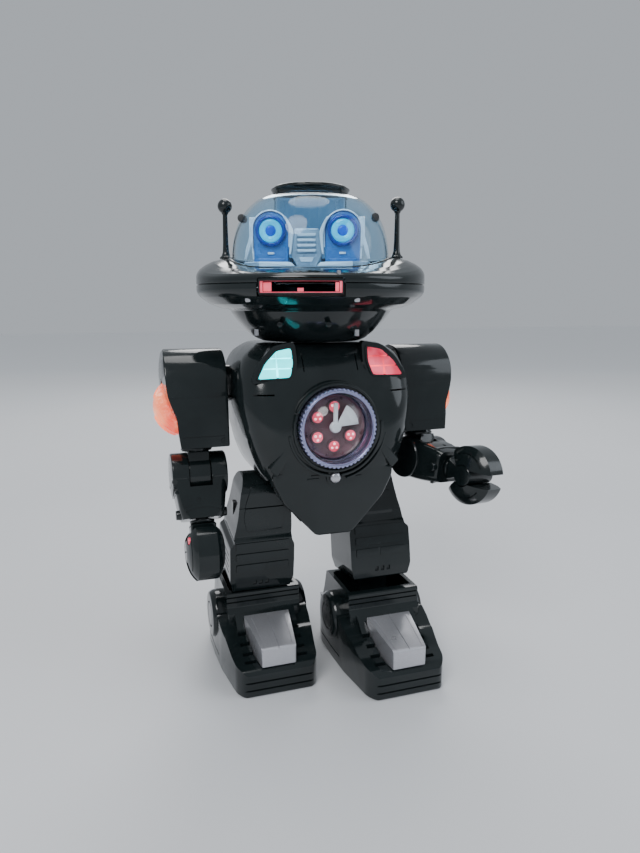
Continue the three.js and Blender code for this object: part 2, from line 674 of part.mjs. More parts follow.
for (const [side, name, swing, twist, bend] of [
  [-1, 'right', RIGHT_ARM_SWING, 0, RIGHT_ELBOW_BEND],
  [1, 'left', LEFT_ARM_SWING, LEFT_ARM_TWIST, LEFT_ELBOW_BEND],
]) {
  const shoulder = frameAt(body, side * ARM_X, ARM_Y, SHOULDER_Z, 'x', -swing);
  place(shoulder, `shoulder_hood_${name}`, 'shell', hood(), side);
  place(shoulder, `shoulder_lens_${name}`, 'orange', lens(), side);
  const post = frameAt(shoulder, 0, 0, 0, 'z', side * twist);
  place(post, `upper_arm_${name}`, 'shell', upperArm(), side);
  const elbow = frameAt(post, 0, 0, -ELBOW_DROP, 'x', -bend);
  place(elbow, `forearm_${name}`, 'shell', forearm(), side);
  place(elbow, `wrist_${name}`, 'shell', wrist(), side);
  place(elbow, `jaw_upper_${name}`, 'shell', jaw(1), side);
  place(elbow, `jaw_lower_${name}`, 'shell', jaw(-1), side);
}

// ---------------------------------------------------------------- legs

const LEG_SIDE = [
  ...arc(16, 0, 180, 12), [-20.5, -22], [-20.5, -30], [-23, -32], [-24.4, -52], [-24.4, -68], [-22.5, -76],
  [22.5, -76], [24, -68], [24, -48], [20.5, -24],
];
const LEG_FRONT = [
  [-22, 16], [14, 16], [17.5, 4], [20, -14], [23.5, -30], [23.5, -34], [27, -37], [27, -66], [24.5, -76],
  [-21.5, -76], [-24, -66], [-24, -38], [-22, -34],
];

function leg() {
  const ankle = -LEG_LENGTH;
  let shell = cut(
    common(prism('x', LEG_SIDE, -30, 30), prism('y', LEG_FRONT, -30, 30)),
    common(
      box([-21, 20.5], [-20.5, 20.5], [-80, -9]),
      prism('y', [[-21, -9], [15, -9], [20.5, -40], [20.5, -80], [-21, -80]], -30, 30),
      prism('x', [
        [-13, -9], [13, -9], [17, -24], [20.5, -50], [20.5, -80], [-20.5, -80], [-20.5, -50], [-17, -24],
      ], -30, 30),
    ),
  );
  shell = join(
    shell,
    box([-12, 12], [-8.6, 8.6], [ankle, -8]),
    box([-21.4, 21], [-3, 3], [-62, -8]),
    rod('x', 8.6, 8.6, -12, 12, [0, ankle]),
  );
  for (let i = 0; i < 5; i += 1) {
    const z = -32 - 9 * i + (i > 2 ? -1 : 0);
    shell = cut(shell, box([-18, 21], [-30, -22.6 - 0.2 * i], [z - 1.1, z + 1.1]));
  }
  shell = cut(shell, box([-30, 30], [-30, -17.2], [-7.2, -6]));
  for (let i = 0; i < 3; i += 1) {
    shell = cut(shell, box([-4 + 5 * i, -1 + 5 * i], [-30, -23.4], [-63.6, -60.2]));
  }
  return cut(
    shell,
    rod('x', 5.35, 5.35, -30, -1.5, [0, 0], 20),
    rod('x', 4.4, 4.4, -20, 20, [0, ankle], 16),
  );
}

const FOOT_PLAN = [
  [-26, TOE_Y], [26, TOE_Y], [31, TOE_Y + 8], [36, -32], [37, -8], [37, 20], [32, 38], [27, 42],
  [-27, 42], [-32, 38], [-37, 20], [-37, -8], [-36, -32], [-31, TOE_Y + 8],
];
const FOOT_SIDE = [
  [TOE_Y, -33], [TOE_Y, -15], [TOE_Y + 4, -12], [-58, -8], [-40, 2], [-27, 14], [-27, 27.5], [27.5, 27.5],
  [33, 10], [42, -8], [42, -33],
];

function foot() {
  let shell = common(
    prism('z', FOOT_PLAN, -33, 40, 1.2),
    prism('x', FOOT_SIDE, -50, 50),
    join(
      box([-29.5, 29.5], [-30, 60], [-40, 40]),
      prism('x', [[-90, -40], [-90, -5], [-40, 0], [-22, 8], [22, 8], [60, -4], [60, -40]], -60, 60),
      box([-24, 24], [-60, -29], [-40, 40]),
    ),
  );
  shell = join(
    shell,
    rod('x', POD_R - 2, POD_R, -39, -35.5, [0, 0], 24),
    rod('x', POD_R, POD_R, -35.6, 35.6, [0, 0], 24),
    rod('x', POD_R, POD_R - 2, 35.5, 39, [0, 0], 24),
  );
  const channel = [[-18.4, -34.6], [18.4, -34.6], [13.5, -80], [-13.5, -80]];
  shell = cut(
    shell,
    box([-26, 26], [-20.5, 21], [-14, 40]),
    prism('z', channel, -12, 40),
    box([-17, 17], [ROLLER_Y - 8, ROLLER_Y + 8], [-40, -18]),
    rod('x', 2.4, 2.4, -20, 20, [ROLLER_Y, -26.6], 14),
    ...[19.2, 23.2].map((z) => box([-40, 40], [-30, -25.4], [z, z + 1.2])),
    ...[-28, -22].map((z) => box([-40, 40], [TOE_Y - 2, TOE_Y + 1.4], [z, z + 1.4])),
  );
  for (const s of [-1, 1]) {
    for (let i = 0; i < 4; i += 1) {
      const y = -68 + 8 * i;
      shell = cut(shell, box([s * 19 - 5, s * 19 + 5], [y, y + 3], [-14 + 3 * i, 10]));
    }
  }
  return join(shell, rod('x', 4, 4, -27, 27, [0, 0], 16));
}

function toeBox() {
  return cut(
    common(
      prism('z', [[-18, -35], [18, -35], [13, -75.4], [-13, -75.4]], -11.7, 20, 1),
      prism('x', [[-35, -20], [-35, 12], [-73.8, 3.2], [-75.4, 1.6], [-75.4, -20]], -30, 30),
    ),
    prism('x', [[-30, 30], [-30, 12.6], [-73.8, 2.6], [-90, -1], [-90, 30]], -0.4, 0.4),
  );
}

for (const [side, name, swing] of [[-1, 'right', STRIDE], [1, 'left', -STRIDE]]) {
  const hip = frameAt(body, side * HIP_X, 0, HIP_Z, 'x', swing);
  place(hip, `leg_${name}`, 'shell', leg(), side);
  const ankle = frameAt(hip, 0, 0, -LEG_LENGTH, 'x', -swing);
  place(ankle, `foot_${name}`, 'shell', foot(), side);
  place(ankle, `toe_box_${name}`, 'silver', toeBox(), side);
  place(ankle, `foot_roller_${name}`, 'rubber', join(
    rod('x', ROLLER_R, ROLLER_R, -16, 16, [ROLLER_Y, -26.6], 20),
    rod('x', 2, 2, -19.5, 19.5, [ROLLER_Y, -26.6], 14),
  ));
}

// Origin under the middle of the bounding box.
robot.updateMatrixWorld(true);
const bounds = new THREE.Box3().setFromObject(robot, true);
body.position.set(-(bounds.min.x + bounds.max.x) / 2, -(bounds.min.y + bounds.max.y) / 2, -bounds.min.z);

export default robot;
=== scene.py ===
"""Looks of the walking robot toy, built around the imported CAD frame."""
import json
import math

import bmesh
import bpy
from mathutils import Matrix, Vector


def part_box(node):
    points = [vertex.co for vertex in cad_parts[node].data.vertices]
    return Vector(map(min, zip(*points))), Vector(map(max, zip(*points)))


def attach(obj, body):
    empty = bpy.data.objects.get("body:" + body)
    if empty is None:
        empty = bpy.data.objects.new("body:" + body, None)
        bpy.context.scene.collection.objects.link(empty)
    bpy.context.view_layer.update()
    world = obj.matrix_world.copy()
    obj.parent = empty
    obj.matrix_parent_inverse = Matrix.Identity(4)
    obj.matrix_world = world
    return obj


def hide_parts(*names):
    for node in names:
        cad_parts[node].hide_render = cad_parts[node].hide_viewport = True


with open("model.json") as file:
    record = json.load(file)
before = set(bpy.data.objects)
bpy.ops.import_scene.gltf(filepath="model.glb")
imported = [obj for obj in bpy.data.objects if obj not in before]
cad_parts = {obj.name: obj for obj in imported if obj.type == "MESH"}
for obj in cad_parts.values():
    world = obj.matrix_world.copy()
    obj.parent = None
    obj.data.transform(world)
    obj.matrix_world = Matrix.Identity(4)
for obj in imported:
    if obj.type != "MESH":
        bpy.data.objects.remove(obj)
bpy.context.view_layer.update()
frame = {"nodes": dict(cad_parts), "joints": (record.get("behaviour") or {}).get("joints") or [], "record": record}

MM = 0.001
TAU = 2 * math.pi
FINE = 120  # segments of the widest turned pieces
SHARP_ANGLE = math.radians(32)  # edges sharper than this are creased and bevelled
WELD = 2e-6  # metres
TINY = 1e-6
STRAIGHT = 0.12  # outlines that bend by less, in radians, get no rounding there
MITER_LIMIT = 1.6
SIDES = ((-1, "right"), (1, "left"))
joints = {j["name"]: j for j in frame["joints"]}

# ------------------------------------------------------------------ frames taken from the joints


def place_of(name):
    return Vector(joints[name]["pos_m"])


def axis_of(name):
    return Vector(joints[name]["axis"]).normalized()


def frame_at(origin, x_axis, z_axis):
    """Matrix of a local frame, in metres, from its origin and two of its axes."""
    z = z_axis.normalized()
    x = (x_axis - z * x_axis.dot(z)).normalized()
    y = z.cross(x)
    m = Matrix((x, y, z)).transposed().to_4x4()
    m.translation = origin
    return m


X, Z = Vector((1, 0, 0)), Vector((0, 0, 1))
neck = place_of("head_turn")
hips = (place_of("hip_left") + place_of("hip_right")) / 2
TORSO = frame_at(Vector((hips.x, hips.y, 0)), X, Z)
HEAD = frame_at(Vector((neck.x, neck.y, 0)), -axis_of("hatch_lid_hinge"), Z)
NECK_Y = (neck.y - hips.y) / MM
ARM_Y = (place_of("shoulder_swing_left").y - hips.y) / MM


def limb_frames(name):
    """Local frames of one arm and one leg: shoulder, upper arm, elbow, hip, ankle."""
    elbow_axis = -axis_of(f"elbow_{name}")
    shoulder, elbow = place_of(f"shoulder_swing_{name}"), place_of(f"elbow_{name}")
    hip, ankle = place_of(f"hip_{name}"), place_of(f"ankle_{name}")
    return {
        "shoulder": frame_at(shoulder, X, shoulder - elbow),
        "arm": frame_at(shoulder, elbow_axis, shoulder - elbow),
        "elbow": frame_at(elbow, elbow_axis, -axis_of(f"wrist_turn_{name}")),
        "leg": frame_at(hip, X, hip - ankle),
        "foot": frame_at(ankle, X, Z),
    }


limbs = {name: limb_frames(name) for _, name in SIDES}
LEG_LENGTH = (place_of("hip_left") - place_of("ankle_left")).length / MM

# ------------------------------------------------------------------ procedural materials


def fill(node, **values):
    """Sets or links inputs of a node by name, with underscores for spaces."""
    for key, value in values.items():
        socket = node.inputs[key.replace("_", " ")]
        if isinstance(value, bpy.types.NodeSocket):
            node.id_data.links.new(value, socket)
        else:
            socket.default_value = value


def add_node(tree, kind, **values):
    node = tree.nodes.new("ShaderNode" + kind)
    fill(node, **values)
    return node


def nodes_of(name):
    mat = bpy.data.materials.new(name)
    mat.use_nodes = True
    tree = mat.node_tree
    return mat, tree, tree.nodes["Principled BSDF"]


def object_place(tree):
    return add_node(tree, "TexCoord").outputs["Object"]


def noise(tree, scale, detail=4, rough=0.55):
    where = object_place(tree)
    node = add_node(tree, "TexNoise", Scale=scale, Detail=detail, Roughness=rough, Vector=where)
    return node.outputs["Fac"]


def remap(tree, value, low, high, to_low, to_high):
    node = add_node(tree, "MapRange", From_Min=low, From_Max=high, To_Min=to_low, To_Max=to_high, Value=value)
    return node.outputs["Result"]


def blend_colour(tree, factor, first, second):
    node = add_node(tree, "Mix")
    node.data_type = "RGBA"
    fill(node, A=(*first, 1), B=(*second, 1), Factor=factor)
    return node.outputs["Result"]


def bumps(tree, shader, layers):
    """Stacks bump layers given as (height socket, strength, distance in metres)."""
    last = None
    for height, strength, distance in layers:
        node = add_node(tree, "Bump", Strength=strength, Distance=distance, Height=height)
        if last:
            fill(node, Normal=last)
        last = node.outputs["Normal"]
    fill(shader, Normal=last)


def plastic(name, dark, light, rough=(0.12, 0.3), metal=0, coat=0, grain=0.2, specular=0.5):
    """Moulded plastic: slow colour drift, smudged gloss, sink ripple and a fine grain."""
    mat, tree, shader = nodes_of(name)
    drift = noise(tree, 28, 5)
    smudge = noise(tree, 75, 7, 0.65)
    fill(
        shader,
        Base_Color=blend_colour(tree, remap(tree, drift, 0.3, 0.7, 0, 1), dark, light),
        Roughness=remap(tree, smudge, 0.35, 0.72, *rough),
        Metallic=metal,
        Specular_IOR_Level=specular,
        Coat_Weight=coat,
        Coat_Roughness=0.06,
    )
    bumps(tree, shader, [(noise(tree, 55, 2), 0.12, 0.0006), (noise(tree, 2600, 3), grain, 0.00004)])
    return mat


def speckled(name, base, flake, rough, metal):
    """Silver paint: fine metal flake, faint cloudiness and rubbed patches."""
    mat, tree, shader = nodes_of(name)
    flakes = remap(tree, noise(tree, 4200, 2), 0.35, 0.7, 0, 1)
    fill(
        shader,
        Base_Color=blend_colour(tree, flakes, base, flake),
        Roughness=remap(tree, noise(tree, 40, 5), 0.3, 0.7, *rough),
        Metallic=metal,
    )
    bumps(tree, shader, [(noise(tree, 4200, 2), 0.15, 0.00003), (noise(tree, 60, 2), 0.08, 0.0005)])
    return mat


def lamp(name, deep, bright, glow, strength):
    """Lit translucent plastic: colour and glow drift in soft patches between a deep and a bright tone, over a fine
    cell ripple.
    """
    mat, tree, shader = nodes_of(name)
    cells = add_node(tree, "TexVoronoi", Scale=330, Vector=object_place(tree))
    patch = remap(tree, noise(tree, 60, 2), 0.32, 0.68, 0, 1)
    fill(
        shader,
        Base_Color=blend_colour(tree, patch, deep, bright),
        Emission_Color=blend_colour(tree, patch, deep, glow),
        Emission_Strength=strength,
        Roughness=0.12,
        Coat_Weight=0.5,
        Coat_Roughness=0.04,
    )
    bumps(tree, shader, [(cells.outputs["Distance"], 0.5, 0.0005)])
    return mat


def glass(name, tint, rough, ior):
    """Clear plastic that lets lamps through, with moulding ripple and faint scuffs."""
    mat, tree, shader = nodes_of(name)
    scuffs = remap(tree, noise(tree, 90, 6), 0.4, 0.75, *rough)
    fill(shader, Base_Color=(*tint, 1), Transmission_Weight=1, IOR=ior, Roughness=scuffs)
    bumps(tree, shader, [(noise(tree, 30, 2), 0.05, 0.0006)])
    clear = add_node(tree, "BsdfTransparent", Color=(*[c ** 0.5 for c in tint], 1))
    mix = add_node(tree, "MixShader")
    sources = add_node(tree, "LightPath").outputs["Is Shadow Ray"], shader.outputs[0], clear.outputs[0]
    for source, socket in zip(sources, mix.inputs):
        tree.links.new(source, socket)
    fill(tree.nodes["Material Output"], Surface=mix.outputs[0])
    return mat


MATS = {
    "shell": plastic("shell", (0.005, 0.0085, 0.009), (0.010, 0.015, 0.016), (0.07, 0.24), coat=0.2,
                     specular=0.36),
    "silver_paint": speckled("silver_paint", (0.42, 0.42, 0.45), (0.72, 0.72, 0.76), (0.26, 0.42), 0.75),
    "dome_tint": glass("dome_tint", (0.62, 0.8, 0.93), (0, 0.05), 1.3),
    "clear_plastic": glass("clear_plastic", (0.93, 0.96, 0.98), (0, 0.05), 1.35),
    "lamp_cyan": lamp("lamp_cyan", (0, 0.55, 0.6), (0, 0.8, 0.85), (0.02, 0.85, 0.9), 2.6),
    "lamp_red": lamp("lamp_red", (0.5, 0.01, 0.04), (0.9, 0.08, 0.14), (1, 0.16, 0.24), 0.9),
    "lens_orange": lamp("lens_orange", (0.8, 0.08, 0.04), (1, 0.3, 0.14), (1, 0.3, 0.13), 1.2),
    "bezel_blue": plastic("bezel_blue", (0.004, 0.04, 0.3), (0.01, 0.08, 0.42), (0.1, 0.22), coat=0.3),
    "inner_frame": plastic("inner_frame", (0.02, 0.022, 0.025), (0.04, 0.043, 0.046), (0.4, 0.6)),
    "white_plastic": plastic("white_plastic", (0.6, 0.62, 0.65), (0.72, 0.73, 0.75), (0.3, 0.45)),
    "steel": speckled("steel", (0.4, 0.4, 0.42), (0.55, 0.55, 0.57), (0.22, 0.36), 1),
    "circuit_board": plastic("circuit_board", (0.01, 0.09, 0.03), (0.02, 0.15, 0.06), (0.35, 0.5)),
    "battery_wrap": speckled("battery_wrap", (0.3, 0.17, 0.05), (0.42, 0.26, 0.1), (0.25, 0.4), 0.4),
    "foam": plastic("foam", (0.6, 0.2, 0.05), (0.75, 0.3, 0.09), (0.75, 0.95), grain=0.8),
    "roller_rubber": plastic("roller_rubber", (0.012, 0.012, 0.012), (0.025, 0.025, 0.025), (0.6, 0.85)),
}
PLATE = speckled("face_paint", (0.9, 0.93, 0.97), (0.97, 0.98, 1), (0.2, 0.34), 0)
SNOUT = speckled("snout_silver", (0.3, 0.37, 0.44), (0.46, 0.54, 0.62), (0.24, 0.38), 0.3)
HOUSING = plastic("eye_housing", (0.035, 0.15, 0.42), (0.08, 0.26, 0.58), (0.22, 0.36), coat=0.2)
PUPIL = lamp("pupil_blue", (0, 0.05, 0.4), (0, 0.1, 0.6), (0, 0.12, 0.8), 0.45)
EYE = lamp("eye_cyan", (0, 0.42, 0.62), (0, 0.62, 0.82), (0, 0.66, 0.9), 0.85)
MOUTH_GLOW = lamp("mouth_glow", (0.5, 0.02, 0.05), (0.9, 0.12, 0.18), (1, 0.2, 0.27), 0.9)
BULB = lamp("bulb_pink", (1, 0.35, 0.4), (1, 0.6, 0.62), (1, 0.5, 0.55), 2.2)
RIM_BLUE = speckled("ring_blue_silver", (0.2, 0.26, 0.5), (0.6, 0.55, 0.72), (0.16, 0.3), 0.85)
WELL = plastic("window_floor", (0.05, 0.02, 0.028), (0.16, 0.05, 0.07), (0.25, 0.45))

slot_of = {part["node"]: part["material_slot"] for part in frame["record"]["subparts"]}
for node, obj in frame["nodes"].items():
    obj.data.materials.clear()
    obj.data.materials.append(MATS[slot_of[node]])

# ------------------------------------------------------------------ solids, in millimetres


def mesh_of(verts, faces):
    """Closed mesh with its faces turned outwards."""
    bm = bmesh.new()
    made = [bm.verts.new(v) for v in verts]
    for face in faces:
        bm.faces.new([made[i] for i in face])
    bmesh.ops.recalc_face_normals(bm, faces=bm.faces)
    mesh = bpy.data.meshes.new("solid")
    bm.to_mesh(mesh)
    bm.free()
    return mesh


def on_axis(axis, u, v, w):
    """Point whose distance along the named axis is w."""
    return {"x": (w, u, v), "y": (u, w, v), "z": (u, v, w)}[axis]


def rect(u0, u1, v0, v1):
    return [(u0, v0), (u1, v0), (u1, v1), (u0, v1)]


def arc(radius, start, end, steps, centre=(0, 0)):
    turns = [math.radians(start + (end - start) * i / steps) for i in range(steps + 1)]
    return [(centre[0] + radius * math.cos(a), centre[1] + radius * math.sin(a)) for a in turns]


def rounded(outline, radius, steps=4, keep_axis=False):
    """Outline with its corners eased; with keep_axis, points on the turning axis stay sharp."""
    made = []
    for i, point in enumerate(outline):
        here, before, after = Vector(point), Vector(outline[i - 1]), Vector(outline[(i + 1) % len(outline)])
        back, ahead = before - here, after - here
        bend = math.pi - back.angle(ahead, math.pi)
        if (keep_axis and abs(here.x) < TINY) or bend < STRAIGHT:
            made.append(tuple(here))
            continue
        reach = min(radius, 0.45 * back.length, 0.45 * ahead.length)
        a, b = here + back.normalized() * reach, here + ahead.normalized() * reach
        for k in range(steps + 1):
            t = k / steps
            made.append(tuple(a * (1 - t) ** 2 + here * (2 * t * (1 - t)) + b * t * t))
    return made


def spline(a, b, c, d, t):
    return (2 * b + (c - a) * t + (2 * a - 5 * b + 4 * c - d) * t * t + (3 * b - a - 3 * c + d) * t ** 3) / 2


def smooth_line(rows, steps=5):
    """Catmull-Rom spline through points, or through longer rows of numbers."""
    made = []
    for i in range(len(rows) - 1):
        four = rows[max(i - 1, 0)], rows[i], rows[i + 1], rows[min(i + 2, len(rows) - 1)]
        for k in range(steps):
            made.append(tuple(spline(*column, k / steps) for column in zip(*four)))
    return [*made, tuple(rows[-1])]


def turned(profile, axis="z", at=(0, 0), segments=72):
    """Body turned from a closed profile of (radius, distance along the axis)."""
    verts, rings = [], []
    for r, w in profile:
        if abs(r) < TINY:
            rings.append([len(verts)])
            verts.append(on_axis(axis, at[0], at[1], w))
        else:
            rings.append([len(verts) + i for i in range(segments)])
            for i in range(segments):
                a = TAU * i / segments
                verts.append(on_axis(axis, at[0] + r * math.cos(a), at[1] + r * math.sin(a), w))
    faces = []
    for one, two in zip(rings, rings[1:] + rings[:1]):
        if len(one) == 1 and len(two) == 1:
            continue
        for i in range(segments):
            k = (i + 1) % segments
            if len(one) == 1:
                faces.append((one[0], two[i], two[k]))
            elif len(two) == 1:
                faces.append((one[i], two[0], one[k]))
            else:
                faces.append((one[i], two[i], two[k], one[k]))
    return mesh_of(verts, faces)


def spun(profile, soft, steps=3, axis="z", at=(0, 0), segments=72):
    """Turned body whose corners are eased."""
    return turned(rounded(profile, soft, steps, keep_axis=True), axis, at, segments)


def inset(outline, amount):
    """Outline moved inwards by a distance."""
    count = len(outline)
    area = sum(outline[i - 1][0] * outline[i][1] - outline[i][0] * outline[i - 1][1] for i in range(count))
    sign = 1 if area > 0 else -1
    made = []
    for i in range(count):
        here, before, after = Vector(outline[i]), Vector(outline[i - 1]), Vector(outline[(i + 1) % count])
        one, two = (here - before).normalized(), (after - here).normalized()
        n1, n2 = Vector((-one.y, one.x)) * sign, Vector((-two.y, two.x)) * sign
        mid = n1 + n2
        scale = min(2 / max(mid.length_squared, TINY), MITER_LIMIT)
        made.append(tuple(here + mid * scale * amount))
    return made


def ring_faces(count, rings):
    """Faces that join rings of equally many points, and close both ends."""
    faces = [tuple(range(count))[::-1], tuple(range(count * (rings - 1), count * rings))]
    for s in range(rings - 1):
        for i in range(count):
            k = (i + 1) % count
            faces.append((s * count + i, s * count + k, (s + 1) * count + k, (s + 1) * count + i))
    return faces


def prism(axis, outline, low, high, soft=0, steps=2):
    """Outline pushed along an axis, with its two end edges rounded over."""
    layers = [(low, outline), (high, outline)]
    if soft:
        turns = [math.pi / 2 * k / steps for k in range(steps + 1)]
        ends = [(soft * (1 - math.sin(a)), soft * (1 - math.cos(a))) for a in turns]
        layers = [(low + rise, inset(outline, side)) for side, rise in ends]
        layers += [(high - rise, inset(outline, side)) for side, rise in reversed(ends)]
    count = len(outline)
    verts = [on_axis(axis, u, v, w) for w, ring in layers for u, v in ring]
    return mesh_of(verts, ring_faces(count, len(layers)))


def box(xs, ys, zs, soft=0):
    """Block; soft rounds every edge."""
    outline = rect(*xs, *ys)
    if soft:
        outline = rounded(outline, soft * 1.3, 3)
    return prism("z", outline, *zs, soft * 0.9)


def rod(axis, r0, r1, low, high, at, segments=40, soft=0):
    profile = [(0, low), (r0, low), (r1, high), (0, high)]
    if soft:
        profile = rounded(profile, soft, 3, keep_axis=True)
    return turned(profile, axis, at, segments)


def pin(axis, r, low, high, at, segments=40, soft=0):
    """Rod of one radius."""
    return rod(axis, r, r, low, high, at, segments, soft)


def loft(sections, corner=8, fine=4):
    """Body through rounded-rectangle sections (z, x0, x1, y0, y1, r), eased between them."""
    rows = smooth_line(sections, fine)
    count = 4 * (corner + 1)
    verts = []
    for z, x0, x1, y0, y1, r in rows:
        centres = [(x1 - r, y1 - r), (x0 + r, y1 - r), (x0 + r, y0 + r), (x1 - r, y0 + r)]
        for k, (cx, cy) in enumerate(centres):
            for i in range(corner + 1):
                a = (k + i / corner) * math.pi / 2
                verts.append((cx + r * math.cos(a), cy + r * math.sin(a), z))
    return mesh_of(verts, ring_faces(count, len(rows)))


def add_object(name, data):
    obj = bpy.data.objects.new(name, data)
    bpy.context.scene.collection.objects.link(obj)
    return obj


def boolean(base, tools, operation):
    host = add_object("host", base)
    helpers = [host]
    for tool in tools:
        helpers.append(add_object("tool", tool))
        step = host.modifiers.new("step", "BOOLEAN")
        step.operation = operation
        step.object = helpers[-1]
        step.solver = "MANIFOLD"
    seen = host.evaluated_get(bpy.context.evaluated_depsgraph_get())
    made = bpy.data.meshes.new_from_object(seen)
    for helper in helpers:
        bpy.data.objects.remove(helper)
    return made


def join(*solids):
    return boolean(solids[0], solids[1:], "UNION")


def cut(base, *tools):
    return boolean(base, tools, "DIFFERENCE")


def common(*solids):
    return boolean(solids[0], solids[1:], "INTERSECT")


def piece(name, solid, where, body, slot, replaces=(), side=1, soft=0.35, material=None):
    """Places a solid built in millimetres in a local frame, and ties it to the CAD."""
    mirror = Matrix.Diagonal((side * MM, MM, MM, 1))
    solid.transform(where @ mirror)
    bm = bmesh.new()
    bm.from_mesh(solid)
    bmesh.ops.remove_doubles(bm, verts=bm.verts, dist=WELD)
    bmesh.ops.dissolve_degenerate(bm, edges=bm.edges, dist=WELD)
    if side < 0:
        bmesh.ops.reverse_faces(bm, faces=bm.faces)
    bm.to_mesh(solid)
    bm.free()
    solid.shade_smooth()
    solid.set_sharp_from_angle(angle=SHARP_ANGLE)
    solid.materials.clear()
    solid.materials.append(material or MATS[slot])
    obj = add_object(name, solid)
    solid.name = name
    if soft:
        edge = obj.modifiers.new("edge", "BEVEL")
        edge.width = soft * MM
        edge.segments = 2
        edge.limit_method = "ANGLE"
        edge.angle_limit = SHARP_ANGLE
        edge.use_clamp_overlap = True
        edge.harden_normals = True
        edge.miter_outer = "MITER_ARC"
    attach(obj, body)
    if replaces:
        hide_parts(*([replaces] if isinstance(replaces, str) else replaces))
    return obj


def on_torso(name, solid, slot, replaces=(), **look):
    piece(name, solid, TORSO, "torso", slot, replaces, **look)


def on_head(name, solid, slot, replaces=(), **look):
    piece(name, solid, HEAD, "head", slot, replaces, **look)


def screw(at, axis, radius, low, high):
    """Pan head with a cross recess; low is the seat, high the crown."""
    rise = high - low
    edge = (radius, low + 0.35 * rise)
    crown = (0.72 * radius, low + 0.85 * rise)
    head = spun([(0, low), (radius, low), edge, crown, (0, high)], radius * 0.12, 2, axis, at, 28)
    arm, deep = radius * 0.55, low + 0.45 * rise
    ends = sorted((deep, high + 0.2 * rise))
    wide = radius * 0.13
    for half_u, half_v in ((arm, wide), (wide, arm)):
        cross = rect(at[0] - half_u, at[0] + half_u, at[1] - half_v, at[1] + half_v)
        head = cut(head, prism(axis, cross, *ends))
    return head

# ------------------------------------------------------------------ torso

TORSO_ROWS = [
    (158.5, 50, -51, 42, 16), (166, 54, -53, 45.6, 18), (180, 59, -55.5, 46, 20), (197, 63, -56, 46, 22),
    (212, 65.5, -53.5, 46, 22), (224, 66, -50, 46, 22), (235, 65, -45, 45.5, 21), (246, 60, -38.5, 43.5, 19),
    (252, 53, -33, 40, 18), (255, 47, -29, 37, 17),
]
CAVITY_Z = (161.1, 166, 180, 197, 212, 224, 235, 246, 250.4, 252.4)
SHIELD = [(-46, 166), (46, 166), (46, 158), (38, 142), (14, 116), (-14, 116), (-38, 142), (-46, 158)]
LAMP = [(29, 253.5), (40, 251.5), (49, 243), (55, 232.5), (31.5, 233), (28.5, 243)]
LAMP_SLOPE = [(-30, 225), (-30, 262), (-36.2, 262), (-46.2, 231), (-46.2, 225)]
BELLY = (0, 197)
BELLY_R, BELLY_SEAT = 29, -53
BUTTON = (0, 160)
SHOULDER_Z, HIP_Z = 224, 140
AXLE_BORE = 5.35
DOOR_HALF, DOOR_LOW, DOOR_HIGH, REAR_Y = 27, 169, 215, 46
BACK_SCREWS = ((48, 232), (46, 170))
WALL, GAP = 2.6, 0.35


def torso_loft(off, heights=None):
    rows = []
    for i, (z, half, front, rear, r) in enumerate(TORSO_ROWS):
        rows.append((heights[i] if heights else z, -half + off, half - off, front + off, rear - off, r - off))
    return loft(rows, fine=4)


def flip(outline, side):
    return [(side * u, v) for u, v in outline]


def slice_ring(axis, at, r0, r1, low, high, start, end):
    """Part of a flat ring, from one angle to another."""
    outline = arc(r1, start, end, 30, at) + arc(r0, end, start, 30, at)
    return prism(axis, rounded(outline, 0.8, 3), low, high, 0.45)


